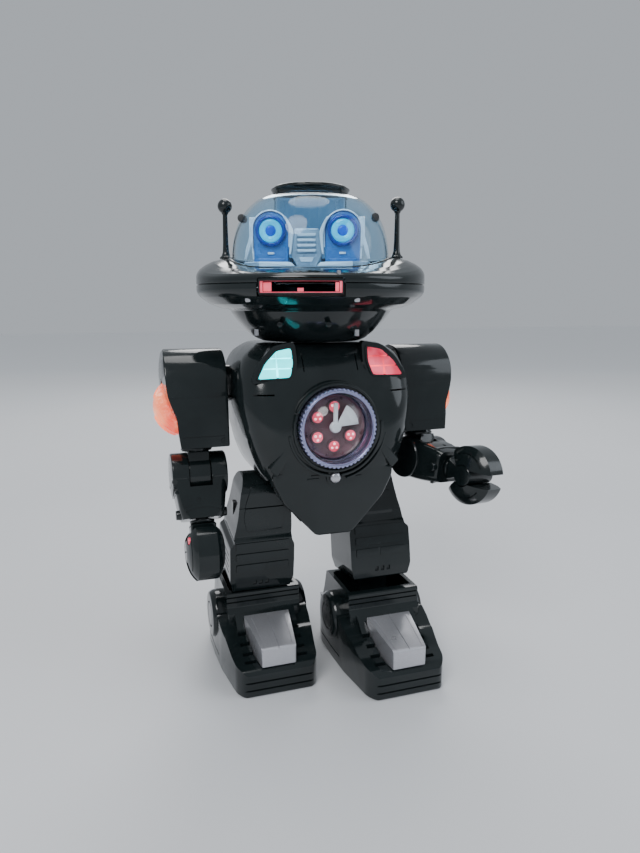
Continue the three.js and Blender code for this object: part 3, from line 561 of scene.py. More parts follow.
def torso_solid():
    shell = join(
        torso_loft(0),
        prism("y", rounded(SHIELD, 3), -52.5, -29.5, 1.8, 3),
        box((-20, 20), (-30, 31), (120, 162), 1.2),
        rod("z", 3, 3.6, 113.5, 117, (0, -41), 32, 0.9),
        pin("x", 14, -69.4, 69.4, (ARM_Y, SHOULDER_Z), 64, 1),
        pin("y", BELLY_R + 4.5, -54.5, -44, BELLY, 96, 0.5),
        slice_ring("y", BELLY, 30.6, 32.6, -57.6, -50, -200, 158),
        slice_ring("y", BELLY, 34.2, 36.2, -56.9, -49, -84, 6),
        slice_ring("y", BELLY, 37.8, 39.2, -56.3, -48, -78, -8),
        slice_ring("y", BELLY, 34.2, 36.2, -56.9, -49, 186, 262),
        rod("y", 7.2, 6.6, -46, -53.6, BUTTON, 48),
    )
    for side in (-1, 1):
        outer = inset(flip(LAMP, side), -3.6)
        arch = inset(flip(LAMP, side), -1.3)
        shell = join(
            shell,
            common(prism("y", rounded(outer, 4), -54, -31), prism("x", LAMP_SLOPE, -70, 70)),
            common(
                prism("y", rounded(arch, 3.4), -55, -31),
                prism("x", [(y - 1, z) for y, z in LAMP_SLOPE], -70, 70),
            ),
            box(sorted((side * 12, side * 21)), (-53.3, -48), (159, 160), 0.3),
            box(sorted((side * 12, side * 18)), (-53.3, -48), (161.6, 162.5), 0.3),
            prism("y", rounded(flip([(44, 164), (50, 170), (36, 186), (33, 181)], side), 2), -55.6, -48, 0.8),
        )
    shell = cut(
        shell,
        torso_loft(WALL, CAVITY_Z),
        prism("y", inset(SHIELD, 4), -49.4, -32.4),
        box((-17.2, 17.2), (-27.2, 28.2), (123, 164)),
        box((-12, 12), (-36, -26), (128, 158)),
        pin("y", BELLY_R + 0.5, -70, BELLY_SEAT, BELLY, 72),
        pin("y", 24, -70, -40, BELLY, 72),
        pin("y", 4.55, -60, -45, BUTTON),
        pin("x", AXLE_BORE, -80, 80, (ARM_Y, SHOULDER_Z)),
        pin("x", AXLE_BORE, -80, 80, (0, HIP_Z)),
        pin("z", 14.2, 245, 262, (0, NECK_Y), 64),
        box((-DOOR_HALF, DOOR_HALF), (38, 60), (DOOR_LOW, DOOR_HIGH)),
        box((26, 36), (38, 60), (225.1, 230.9)),
    )
    for side in (-1, 1):
        seam = [(side * 20, -60), (side * 20.9, -60), (side * 20.9, -36), (side * 20, -36)]
        shell = cut(
            shell,
            prism("y", inset(flip(LAMP, side), GAP), -70, -24),
            prism("z", seam, 236.6, 258),
            box(sorted((side * 44, side * 60)), (-60, -45), (221, 222.2)),
            box(sorted((side * 30, side * 60)), (-60, -54.4), (213.6, 214.6)),
            prism("y", flip([(47, 150), (50, 166), (48.6, 166), (45.6, 150)], side), -60, -50.9),
            *[pin("y", 3.4, 44.4, 60, (side * x, z), 32) for x, z in BACK_SCREWS],
        )
    grille = []
    for step in (-8, -4, 0, 4, 8):
        half = math.sqrt(144 - step * step)
        grille.append(box((-half, half), (38, 60), (232 + step - 1.1, 232 + step + 1.1)))
    return cut(shell, *grille)


def make_torso():
    whole = torso_solid()
    front = cut(whole, box((-90, 90), (-0.15, 90), (90, 280)))
    rear = cut(whole, box((-90, 90), (-90, 0.15), (90, 280)))
    on_torso("chest_shell", front, "shell", "torso_front_shell")
    on_torso("back_shell", rear, "shell", "torso_rear_shell")
    for side, name in SIDES:
        for x, z in BACK_SCREWS:
            fixing = screw((side * x, z), "y", 3, 44.45, 45.7)
            on_torso(f"back_screw_{name}_{z}", fixing, "steel", soft=0)
    for side, name, slot in ((-1, "right", "lamp_cyan"), (1, "left", "lamp_red")):
        line = rounded(inset(flip(LAMP, side), GAP * 0.5), 2.4)
        lens = common(
            prism("y", line, -60, -31),
            prism("x", [(-31, 225), (-31, 262), (-39.8, 255), (-47.4, 233), (-47.5, 225)], -70, 70),
        )
        grooves = [prism("x", [(-60, z - 3), (-42.6 + (z - 239) * 0.36, z), (-60, z + 3)], -70, 70)
                   for z in (239.4, 246.4)]
        middle = side * 40.6
        grooves.append(prism("z", [(middle - 3, -60), (middle + 3, -60), (middle, -41)], 225, 262))
        lens = cut(lens, *grooves)
        on_torso(f"lamp_lens_{name}", lens, slot, f"chest_lamp_{name}", soft=0.5)


def cap(radius, height, base, steps=12):
    """Half outline of a shallow dome that bulges towards lower values from its base."""
    ball = (radius * radius + height * height) / (2 * height)
    made = []
    for i in range(steps + 1):
        r = radius * (1 - i / steps)
        made.append((r, base - math.sqrt(ball * ball - r * r) + ball - height))
    return made


def polar(centre, radius, start, count):
    """Points spread evenly on a circle, from an angle in degrees."""
    return arc(radius, start, start + 360, count, centre)[:-1]


def make_belly():
    teeth = 54
    knurl = []
    for i in range(teeth):
        for share, r in ((0, 27.9), (0.28, 28.95), (0.62, 28.95)):
            a = TAU * (i + share) / teeth
            knurl.append((BELLY[0] + r * math.cos(a), BELLY[1] + r * math.sin(a)))
    ring = join(
        prism("y", knurl, -61.2, BELLY_SEAT - 0.3, 0.5),
        spun(rect(26.4, 27.6, -60, -62), 0.5, 3, "y", BELLY),
    )
    ring = cut(ring, turned([(0, -70), (27, -70), (25.7, -60.4), (25.7, -40), (0, -40)], "y", BELLY))
    on_torso("window_ring", ring, "silver_paint", "belly_ring", soft=0.15, material=RIM_BLUE)
    outside = [*cap(25.4, 14, -56, 16), (0, BELLY_SEAT - 0.3), (25.4, BELLY_SEAT - 0.3)]
    inside = [*cap(23.8, 13, -55.4, 16), (0, BELLY_SEAT + 2), (23.8, BELLY_SEAT + 2)]
    window = cut(turned(outside, "y", BELLY, 96), turned(inside, "y", BELLY, 96))
    on_torso("window_dome", window, "clear_plastic", "belly_dome", soft=0)
    dish = [(0, -47), (23.5, -47), (23.5, -51.2), (22.6, -51.6), (21.6, -50.6), (16, -49.2), (6, -48.8),
            (0, -48.8)]
    floor = join(spun(dish, 0.4, 2, "y", BELLY), pin("y", 5, -48, -41, BELLY))
    lights = polar(BELLY, 14.5, 30, 6)
    for at in lights:
        floor = join(floor, rod("y", 5.4, 4.9, -48.6, -50.8, at))
    for at in polar(BELLY, 20.6, 15, 12):
        floor = join(floor, pin("y", 0.9, -51.8, -49, at, 16))
    floor = cut(floor, pin("y", 1.7, -60, -42.5, BELLY, 24))
    on_torso("window_floor", floor, "lamp_red", "belly_reflector", soft=0.15, material=WELL)
    for i, centre in enumerate(lights):
        lens = turned([*cap(3.9, 0.9, -50.9, 8), (0, -50.5), (3.9, -50.5)], "y", centre, 48)
        on_torso(f"window_lens_{i + 1}", lens, "lamp_red", soft=0)
        for k, at in enumerate(polar(centre, 1.9, 90 + 60 * i, 3)):
            bulb = turned([*cap(1, 0.7, -51.4, 6), (0, -51), (1, -51)], "y", at, 24)
            on_torso(f"window_bulb_{i + 1}_{k + 1}", bulb, "lamp_red", soft=0, material=BULB)
    fan = [(BELLY[0], BELLY[1]), *arc(17.5, 5, 62, 14, BELLY)]
    rotor = join(
        pin("y", 1.4, -55.5, -44, BELLY, 32, 0.3),
        spun([(0, -55.6), (3.4, -55.4), (4.2, -54.4), (4.2, -52), (0, -52)], 0.4, 3, "y", BELLY),
        prism("z", rounded(rect(-1.5, 1.5, -54.9, -52.4), 0.7), BELLY[1], BELLY[1] + 17.5, 0.4),
        prism("y", rounded(fan, 0.8), -54.4, -52.9, 0.3),
    )
    piece("light_wheel", rotor, TORSO, "light_rotor", "white_plastic", "light_rotor", soft=0.15)
    crown = [(0, -56.6), (1.8, -56.5), (3.2, -55.9), (4, -54.9), (4.2, -53.8), (4.2, -46.9), (0, -46.9)]
    piece("front_button", turned(crown, "y", BUTTON), TORSO, "chest_button", "silver_paint", "chest_button",
          soft=0)


def make_back():
    door = join(
        prism("y", rounded(rect(-26.65, 26.65, 169.35, 214.65), 1.6), REAR_Y - WALL, REAR_Y + 0.2, 0.3),
        *[box((-20, 20), (REAR_Y - 0.5, REAR_Y + 0.9), (z, z + 1.5), 0.3) for z in (176, 179.4, 182.8)],
        box((-6, 6), (REAR_Y - 0.5, REAR_Y + 1.6), (208.3, 211.5), 0.5),
    )
    door = cut(door, *[box((-5, 5), (REAR_Y + 0.9, REAR_Y + 3), (z, z + 0.5)) for z in (209, 209.9, 210.8)])
    piece("battery_cover", door, TORSO, "battery_door", "shell", "battery_door", soft=0.2)
    knob = join(
        box((26.4, 30.4), (42, REAR_Y + 2.2), (225.6, 230.4), 0.5),
        box((23.5, 33.5), (40.4, 42.8), (224, 232), 0.3),
    )
    knob = cut(knob, *[box((27.1 + 0.9 * i, 27.5 + 0.9 * i), (47.6, 49), (225, 231)) for i in range(4)])
    piece("switch_slider", knob, TORSO, "power_switch", "silver_paint", "power_switch", soft=0.15)


# ------------------------------------------------------------------ head

BRIM_R = (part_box("head_brim")[1].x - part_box("head_brim")[0].x) / 2 / MM
SEAM_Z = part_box("head_brim")[0].z / MM - 0.2
RIM_WALL, BRIM_TOP, FRONT_DIP = 84.4, 317.6, 9.6
DIP_START, DIP_LENGTH = -6, 60
EYE_X, EYE_Z, EYE_ARCH_Z, ANTENNA_X = 25.5, 335, 336, 65.5
MOUTH_Z = (291.9, 298.7)
FRONT_RIM = (-100, -60)  # reach in y of cuts through the front of the rim
BOWL_SCREWS = (43, -43, 137, -137)  # degrees from the front


def dip_front(solid):
    """Lowers the brim in front of the face, smoothly from the antennas forward."""
    for vert in solid.vertices:
        t = min(max((DIP_START - vert.co.y) / DIP_LENGTH, 0), 1)
        vert.co.z -= FRONT_DIP * t * t * (3 - 2 * t) * (vert.co.z - SEAM_Z) / (BRIM_TOP - SEAM_Z)
    return solid


def head_point(angle, radius):
    """Place on the head, by angle from its front towards its left."""
    a = math.radians(angle)
    return radius * math.sin(a), -radius * math.cos(a)


def make_head():
    belly_line = smooth_line([(38, 256.5), (43.6, 258.9), (50, 264), (57, 272), (61.8, 279)], 5)
    bowl = [
        (13.8, 246), (13.8, 256.5), *belly_line, (63.2, 280), (69, 280.9), (77, 283.8), (84.2, 288.9),
        (BRIM_R - 0.5, 291.8), (BRIM_R, 293.8), (BRIM_R, SEAM_Z - 0.2), (RIM_WALL, SEAM_Z - 0.2),
        (RIM_WALL, 294), (78.8, 288), (68, 283.2), (60.8, 282.2), (54.4, 273.4), (41, 261), (10, 259.4),
        (10, 246),
    ]
    brim = [
        (RIM_WALL, SEAM_Z + 0.2), (BRIM_R, SEAM_Z + 0.2), (BRIM_R, 304.5), (BRIM_R - 0.6, 307),
        (RIM_WALL, 310), (80, 313.2), (74, 316), (66, BRIM_TOP), (60.4, BRIM_TOP), (60.4, 315), (66, 315),
        (75, 313), (81.6, 309.3), (RIM_WALL, 306),
    ]
    recess = cut(
        prism("y", rounded(rect(-28.8, 28.8, 289.9, 301.1), 1.6), *FRONT_RIM),
        pin("z", 81.2, 280, 310, (0, 0), 96),
    )
    slot_cut = box((-25.6, 25.6), (-100, -50), MOUTH_Z)
    lower = join(turned(rounded(bowl, 0.8, 3), segments=FINE),
                 *[pin("y", 2, -58.6, -52, (s * 17, 270), 32, 0.5) for s in (-1, 1)])
    lower = cut(lower, recess, slot_cut, box((-29.4, 29.4), (-90, -50), (288.9, 297)))
    lower = cut(lower, *[pin("z", 2.6, 255, 266.4, head_point(a, 53), 28) for a in BOWL_SCREWS])
    on_head("saucer_bowl", lower, "shell", "head_bowl", soft=0.25)
    bead = [(60.6, 316.6), (63, 316.6), (63, 318.1), (62.5, 318.5), (61.1, 318.5), (60.6, 318.1)]
    upper = join(turned(rounded(brim, 0.8, 3), segments=FINE), turned(rounded(bead, 0.3, 2), segments=FINE))
    upper = cut(
        dip_front(upper),
        recess,
        slot_cut,
        *[pin("z", 3.4, 305, 325, (s * ANTENNA_X, 0), 32) for s in (-1, 1)],
    )
    on_head("saucer_brim", upper, "shell", "head_brim", soft=0.25)
    for k, a in enumerate((27, -27)):
        line = [(0, 288.2), (2.2, 288.2), (2.2, 286.7), (1.7, 285.4), (0, 284.9)]
        rivet = turned(line, at=head_point(a, 80.5), segments=28)
        on_head(f"rim_rivet_{k + 1}", rivet, "steel", soft=0.1)
    for k, a in enumerate(BOWL_SCREWS):
        line = [(0, 266), (1.9, 266), (1.9, 261.4), (1.3, 260.9), (0, 260.7)]
        post = turned(line, at=head_point(a, 53), segments=24)
        on_head(f"bowl_screw_{k + 1}", post, "steel", soft=0.1)
    line = [(0, 301.9), (1.4, 301.9), (1.4, 304.9), (1, 305.5), (0, 305.7)]
    stud = turned(line, at=head_point(17, RIM_WALL), segments=24)
    on_head("brim_stud", stud, "steel", soft=0)


def make_mouth():
    outer = turned(rect(81.6, 86.3, 285, 305), segments=FINE)
    inner = turned(rect(82.4, 85.2, 285, 305), segments=FINE)
    front = prism("y", rounded(rect(-28.4, 28.4, 290.3, 300.7), 1.3), *FRONT_RIM)
    opening = prism("y", rounded(rect(-27.2, 27.2, 291.3, 298.9), 0.8), *FRONT_RIM)
    surround = cut(common(outer, front), opening)
    on_head("mouth_surround", surround, "shell", "mouth_frame", soft=0.3)
    band = common(inner, prism("y", rect(-27.1, 27.1, 291.4, 298.8), *FRONT_RIM))
    glow = cut(band, box((-25.4, 25.4), (-100, -50), MOUTH_Z))
    on_head("mouth_glow", glow, "lamp_red", soft=0.15, material=MOUTH_GLOW)
    teeth = (("left", 22.6, 24.9, 298), ("middle", -2, 2, 294.4), ("right", -24.9, -19.4, 298))
    for which, x0, x1, top in teeth:
        ring = turned(rect(82.6, 84, 290, 300), segments=FINE)
        tooth = common(ring, box((x0, x1), FRONT_RIM, (292.2, top)))
        on_head(f"mouth_light_{which}", tooth, "lamp_red", soft=0.2, material=MOUTH_GLOW)


def make_dome():
    outer = [(59.6, 305), (59.5, 320), (58, 332), (54.2, 343.5), (48.4, 352.4), (40, 359.6), (28.4, 364)]
    inner = [(28.4, 362.2), (39.2, 358), (46.9, 351.2), (52.5, 342.8), (56.2, 331.8), (57.7, 319.8),
             (57.8, 305)]
    shell = turned([*smooth_line(outer, 6), *smooth_line(inner, 6)], segments=FINE)
    on_head("clear_dome", shell, "dome_tint", "dome", soft=0)
    wall = [(25.4, 300.6), (25.4, 361.8), (27.4, 361.8), (27.4, 299), (23.4, 299), (23.4, 300.6)]
    rib_z = (310.6, 360)
    ribs = [box((-1.4, 1.4), (-29.2, -26), rib_z, 0.4)]
    ribs += [box((s * 9 - 0.8, s * 9 + 0.8), (-27.6, -24.4), rib_z, 0.3) for s in (-1, 1)]
    ribs += [box((s * 26.4 - 0.8, s * 26.4 + 0.8), (-2, 2), rib_z, 0.3) for s in (-1, 1)]
    bore = pin("z", 25.35, 300.7, 370, (0, 0), 96)
    tube = cut(join(spun(wall, 0.3, 2, segments=96), *ribs), bore)
    on_head("magazine_tube", tube, "dome_tint", "magazine", soft=0)
    for i in (1, 2):
        z = 296 + 5.2 * i
        disc = spun(rect(0, 24.8, z, z + 4.4), 1, 4)
        on_head(f"foam_disc_{i}", disc, "foam", f"disc_{i}", soft=0)
    for side, name in SIDES:
        plug = pin("y", 2.9, -24.6, -14, (side * 48.6, 345.5), 32, 0.8)
        on_head(f"dome_plug_{name}", plug, "inner_frame", soft=0)
    ring = [(25.2, 362.2), (27.6, 362.2), (27.9, 364.4), (28.6, 366), (29.6, 367.4), (29.6, 368), (25.2, 368)]
    on_head("hatch_rim", spun(ring, 0.4, segments=96), "shell", "hatch_ring", soft=0)
    lid = [(0, 368.3), (27.8, 368.3), (27.8, 369), (26.8, 369.8), (23, 370), (22.4, 369.6), (0, 369.6)]
    top = cut(
        spun(lid, 0.3, 2, segments=96),
        box((-1.4, 1.4), (-30, -24.4), (368, 371)),
        pin("z", 4.5, 369.3, 371, (0, 10)),
    )
    piece("hatch_cover", top, HEAD, "hatch_lid", "shell", "hatch_lid", soft=0.2)


def eye_arch(side, radius, low, high, foot_z, depth):
    middle = side * EYE_X
    outline = [(middle - radius, foot_z), (middle + radius, foot_z),
               *arc(radius, 0, 180, 24, (middle, EYE_ARCH_Z))]
    return prism("y", outline, low, high, depth, 3)


BRACKET = smooth_line([(14.6, 344.6), (12.6, 341.6), (10.2, 337), (9.2, 333.2), (9.8, 327), (11, 319)], 4)
BRACKET_BACK = smooth_line(
    [(12.2, 319), (11.8, 327), (11.9, 333), (13, 338), (14.8, 342), (16.4, 344.2)], 4)
FORK = [
    (36.6, 344.4), (40.6, 344.4), (40.9, 337), (41, 331), (43.2, 324), (44.8, 315.6), (43.2, 315.6),
    (41, 322), (39.7, 326.4), (39.2, 321), (38.8, 315.6), (36.9, 315.6), (38.2, 324), (38.6, 331),
    (37.9, 337),
]


def make_face():
    tube_room = pin("z", 28, 300, 365, (0, 0), 72)
    notch = box((-2.2, 2.2), (-30.4, -26), (300, 365))
    deck = cut(turned(rect(28, 57.4, 308, 309.8), segments=96), tube_room)
    ledge = [(12.6, 313.8), (44, 313.8), (46, 309.6), (12.6, 309.6)]
    shelf = join(deck, *[prism("y", rounded(flip(ledge, s), 0.8), -35.4, -28.4, 0.5) for s in (-1, 1)])
    on_head("face_deck", cut(shelf, tube_room, notch), "silver_paint", "face_plate",
            soft=0.2, material=SNOUT)
    for side, name in SIDES:
        body = eye_arch(side, 12.4, -34, -28, 309.9, 0.9)
        body = cut(body, pin("y", 7.2, -36, -32.4, (side * EYE_X, EYE_Z), 48), tube_room)
        step = [(side * EYE_X + u, v) for u, v in rounded([(-8, 311), (8, 311), (10, 316), (-10, 316)], 1)]
        body = join(body, prism("y", step, -35, -33, 0.5))
        on_head(f"eye_housing_{name}", body, "silver_paint", soft=0.2, material=HOUSING)
        rim = cut(eye_arch(side, 13.6, -35, -29.4, 324, 0.8), eye_arch(side, 12.55, -40, -20, 300, 0),
                  tube_room)
        trim = [rim]
        trim.append(prism("y", flip([*BRACKET, *BRACKET_BACK], side), -37.6, -32.8, 0.4))
        trim.append(prism("y", flip(FORK, side), -33.6, -30, 0.35))
        bar = rounded(flip([(6.9, 309.5), (32.8, 309.9), (32.8, 313.4), (10.6, 313)], side), 0.5)
        trim.append(prism("y", bar, -44.4, -36, 0.5))
        dash = rect(side * EYE_X - 2.3, side * EYE_X + 2.3, 318.9, 320.4)
        trim.append(prism("y", rounded(dash, 0.5), -35.4, -33.2, 0.3))
        for kind, part in zip(("arch", "bracket", "fork", "bar", "dash"), trim):
            on_head(f"face_{kind}_{name}", part, "silver_paint", soft=0.15, material=PLATE)
    nose = [(-8.6, 336.6), (8.6, 336.6), (10.8, 318), (6.2, 309.2), (-6.2, 309.2), (-10.8, 318)]
    snout = prism("y", rounded(nose, 1.2), -36.4, -28.2, 0.9)
    slats = [prism("x", [(-40, z - 1.4), (-35, z - 1.4), (-36.9, z + 1.2), (-40, z + 1.2)], -7, 7)
             for z in (330.6, 327.2, 323.8, 320.4)]
    snout = cut(snout, tube_room, notch, *slats)
    badge = [(-5.2, 316.6), (5.2, 316.6), (3.9, 313.6), (-3.9, 313.6)]
    chin = prism("y", rounded(badge, 0.5), -37.2, -35.6, 0.3)
    on_head("nose_panel", snout, "silver_paint", soft=0.2, material=SNOUT)
    on_head("nose_chin", chin, "silver_paint", soft=0.15, material=PLATE)
    for k, z in enumerate((332.2, 328.6, 325, 321.4)):
        line = [(-6.2, z - 0.9), (6.2, z - 0.9), (6.6, z + 0.9), (-6.6, z + 0.9)]
        bar = prism("y", rounded(line, 0.4), -37.4, -36, 0.3)
        on_head(f"nose_bar_{k + 1}", bar, "silver_paint", soft=0.1, material=PLATE)


def make_eyes():
    bezel = [(8.3, -34.3), (10.8, -34.3), (10.8, -36), (10.2, -37.2), (9.2, -37.6), (8.3, -37)]
    glow = [(3.75, -33.2), (8.1, -33.2), (8.1, -36), (7.4, -36.8), (5.9, -37.1), (4.5, -36.8), (3.75, -36.2)]
    dot = [(0, -33.2), (3.6, -33.2), (3.6, -36.2), (2.6, -36.9), (0, -37.2)]
    mast = [
        (0, 312), (3, 312), (3, 317.9), (4.8, 317.9), (4.8, 319.2), (3.4, 320.4), (2.5, 323), (2.1, 330),
        (1.8, 350.6), (2.4, 351.4), *arc(5.5, -62, 90, 16, (0, 357))[:-1], (0, 362.5),
    ]
    for side, name in SIDES:
        at = (side * EYE_X, EYE_Z)
        on_head(f"eye_ring_{name}", spun(bezel, 0.4, 3, "y", at), "bezel_blue", f"eye_bezel_{name}", soft=0)
        on_head(f"eye_glow_{name}", spun(glow, 0.3, 3, "y", at), "lamp_cyan",
                f"eye_lamp_{name}", soft=0, material=EYE)
        on_head(f"eye_pupil_{name}", spun(dot, 0.4, 3, "y", at), "bezel_blue", soft=0, material=PUPIL)
        stalk = turned(mast, at=(side * ANTENNA_X, 0), segments=40)
        on_head(f"antenna_mast_{name}", stalk, "shell", f"antenna_{name}", soft=0)


# ------------------------------------------------------------------ arms

LENS_R, LENS_DROP, ELBOW_DROP, CLAW_REACH = 22, 16, 68, 58
KNUCKLE, HUB_R, CLAW_R, CLAW_GAP = 8, 8, 22.5, 5.5
HOOD_FRONT = [
    (-22, 28), (19.5, 28), (22, 25.6), (23, 14), (22.6, 2), (21.6, -9), (18.6, -19), (15.8, -27),
    (15, -37), (13.6, -48), (-22, -48),
]
HOOD_SIDE = [
    *arc(27, 0, 180, 36), (-26.2, -8), (-25.6, -18), (-22.6, -49), (22.6, -49), (25.6, -18), (26.2, -8),
]
# Lower edge of the hood's outer wall, seen from the side, and the space under it.
WALL_EDGE = [(30, 16), (20, 13), (8, 8), (-2, -2), (-10, -14), (-17, -27), (-21, -34), (-24, -42)]


def side_window(rise=0, low=11):
    edge = [(y + rise, z - rise) for y, z in smooth_line(WALL_EDGE, 6)]
    return prism("x", [*edge, (30, -42)], low, 41)


def hood():
    inner = [*arc(24.4, 0, 180, 24), (-23, -18), (-22.2, -28), (22.2, -28), (23, -18)]
    front = [*HOOD_FRONT[:2], *smooth_line(HOOD_FRONT[2:-1], 5), HOOD_FRONT[-1]]
    shell = common(prism("x", HOOD_SIDE, -22, 23, 1.2, 3), prism("y", rounded(front, 1.6, 3), -30, 30))
    rib = cut(prism("x", HOOD_SIDE, -21.2, -18.2, 0.4), prism("x", inset(HOOD_SIDE, 0.9), -30, 30))
    rib = common(rib, box((-30, 30), (-30, 30), (-46, 40)))
    room = common(prism("x", inner, -19.4, 8.6), box((-30, 30), (-30, 30), (-28.4, 30)))
    shell = cut(
        shell,
        room,
        common(pin("x", LENS_R + 0.5, 11, 40, (0, -LENS_DROP), 72), side_window()),
        pin("x", AXLE_BORE, -30, -17, (0, 0)),
        pin("z", 8.35, -40, -20, (0, 0)),
        box((-30, 30), (-28.2, -25.7), (-12, -10.9)),
        box((-12.4, 40), (-20.4, 40), (-60, -31)),
        box((-19.4, 12.4), (-30, -23), (-40.4, -39.6)),
        pin("y", 2.3, -30, -22.6, (-17.4, -43.5), 28),
    )
    return join(shell, rib)


def side_lens():
    line = [(r, 15.4 - h) for r, h in cap(LENS_R, 15, 0, 20)]
    lens = turned([(0, 11.4), (LENS_R, 11.4), *line], "x", (0, -LENS_DROP), 96)
    swept = [(r, w + 0.7) for r, w in line]
    bound = turned([(0, 11.6), (LENS_R, 11.6), *swept], "x", (0, -LENS_DROP), 72)
    ribs = []
    for i in range(-4, 5):
        rib = box((11, 29.6 - 0.42 * i * i), (4.6 * i - 0.45, 4.6 * i + 0.45), (-40, 10), 0.15)
        ribs.append(common(rib, bound))
    return common(join(lens, *ribs), side_window(0.5))


def upper_arm():
    post = spun([(0, -6), (8, -6), (8, -31.4), (10.2, -31.4), (10.6, -37.6), (11.3, -38.4), (11.3, -50.6),
                 (0, -50.6)], 0.5)
    knuckle = join(
        pin("x", 15, -KNUCKLE, KNUCKLE, (0, -ELBOW_DROP), 64, 0.9),
        box((-KNUCKLE, KNUCKLE), (-11, 11), (-ELBOW_DROP, -50.2), 0.8),
        pin("x", 4, -19, 19, (0, -ELBOW_DROP), 32, 0.5),
    )
    collars = [spun(rect(9, 11.9, z, z + 1.4), 0.4, 2) for z in (-49.6, -40.4)]
    arm = join(post, knuckle, *collars)
    arm = join(arm, pin("y", 2.3, -12.2, -9, (0, -45), 28, 0.4))
    return cut(arm, box((-1.7, 1.7), (-13, -11.8), (-45.3, -44.7)))


def forearm():
    body = loft([
        (-35, -15, 15, -12.4, 12.4, 6), (-30, -16.4, 16.4, -13.4, 13.4, 6), (-17, -18.4, 18.4, -15, 15, 6),
        (-4, -20.5, 20.5, -15, 15, 5),
    ], corner=6, fine=5)
    arm = join(
        body,
        pin("x", 16.5, -20.5, 20.5, (0, 0), 72, 1.6),
        rod("x", 4.2, 3.4, 13, 19, (0, -30.5), 28, 0.5),
        rod("x", 3.4, 4.2, -19, -13, (0, -30.5), 28, 0.5),
    )
    pleats = [box((17.2, 20.9 - 0.7 * k), (-13.4, 13.4), (-8.3 - 4 * k, -5.7 - 4 * k), 0.5) for k in range(3)]
    bow = cut(
        prism("y", [*arc(11.4, 180, 360, 24), *arc(9.8, 360, 180, 24)], -15.9, -12, 0.4),
        box((-20, 20), (-20, 0), (-1, 20)),
    )
    cuff = common(
        prism("y", [*arc(34, 66, 114, 20, (0, -59)), *arc(31.6, 114, 66, 20, (0, -59))], -15.2, 15.2, 0.4),
        box((-16.9, 16.9), (-14.4, 14.4), (-40, 0)),
    )
    return cut(
        join(arm, *pleats, bow, cuff),
        pin("x", 15.6, -KNUCKLE - GAP, KNUCKLE + GAP, (0, 0), 64),
        box((-KNUCKLE - GAP, KNUCKLE + GAP), (-22, 0), (-12, 22)),
        box((-KNUCKLE - GAP, KNUCKLE + GAP), (-12, 12), (0, 22)),
        pin("x", 4.35, -19.4, 19.4, (0, 0), 32),
        pin("z", AXLE_BORE, -40, -22, (0, 0)),
        pin("y", 1.6, -18, -13.9, (3, -22), 24),
    )


def wrist():
    hub = -CLAW_REACH
    wedge = [(0, hub), *[(u, hub + v) for u, v in arc(20.5, 66, 114, 10)]]
    stem = join(
        pin("z", 5, -42, -23, (0, 0), 40, 0.4),
        spun([(0, -38.4), (8.2, -38.4), (9.2, -37.4), (9.2, -35.6), (0, -35.6)], 0.4, 2),
        prism("x", rounded(wedge, 0.8, 3), -9.4, 9.4, 1.2, 3),
        pin("x", HUB_R, -14, 14, (0, hub), 64, 1.2),
    )
    slots = [box((x - 0.7, x + 0.7), (-4.2, 4.2), (hub - 0.6, hub + 0.6)) for x in (-14, 14)]
    return cut(stem, *slots)


def jaw(turn):
    def claw_line(outline):
        return [(-turn * v, -CLAW_REACH - u) for u, v in outline]

    inner = HUB_R + 0.4
    a0 = math.degrees(math.asin(CLAW_GAP / CLAW_R))
    a1 = math.degrees(math.asin(CLAW_GAP / inner))
    shape = claw_line([*arc(CLAW_R, a0, 135, 40), *arc(inner, 135, a1, 20)])
    groove = claw_line([*arc(17.5, 32, 120, 20), *arc(16.7, 120, 32, 20)])
    half = smooth_line([(0, -14.4), (6, -14.3), (11, -13.4), (15.5, -12), (19.5, -9.8), (CLAW_R, -7.2)], 5)
    ball = turned([*half, *[(r, -x) for r, x in reversed(half)]], "x", (0, -CLAW_REACH), 96)
    at = painted_glint_place(turn)
    return cut(
        common(prism("x", rounded(shape, 1, 3), -15, 15), ball),
        pin("x", 3, 11.4, 16, at, 28),
        pin("x", 3, -16, -11.4, at, 28),
        prism("x", groove, 10.4, 14),
        prism("x", groove, -14, -10.4),
    )


def painted_glint_place(turn):
    """Middle of the red glowing dot on the side of a claw: a painted highlight, not a lamp."""
    return -turn * 12, -CLAW_REACH + 7


def make_arm(side, name):
    where = limbs[name]
    for label, solid, place, body, slot, node, soft in (
        ("shoulder_cover", hood(), "shoulder", "shoulder", "shell", "shoulder_hood", 0.35),
        ("side_light", side_lens(), "shoulder", "shoulder", "lens_orange", "shoulder_lens", 0),
        ("arm_post", upper_arm(), "arm", "upper_arm", "shell", "upper_arm", 0.3),
        ("forearm_shell", forearm(), "elbow", "forearm", "shell", "forearm", 0.3),
        ("wrist_hub", wrist(), "elbow", "hand", "shell", "wrist", 0.2),
    ):
        piece(f"{label}_{name}", solid, where[place], f"{body}_{name}", slot, f"{node}_{name}", side, soft)
    for turn, which in ((1, "upper"), (-1, "lower")):
        body = f"jaw_{which}_{name}"
        piece(f"claw_{which}_{name}", jaw(turn), where["elbow"], body, "shell", body, side, 0.25)
        # Painted highlight: a red glowing dot on the claw's side face, though the claw holds no lamp.
        dot = rod("x", 2.7, 2.3, 11.2, 12.9, painted_glint_place(turn), 32, 0.5)
        piece(f"claw_{which}_dot_{name}", dot, where["elbow"], body, "lamp_red", (), side, 0)


# ------------------------------------------------------------------ legs

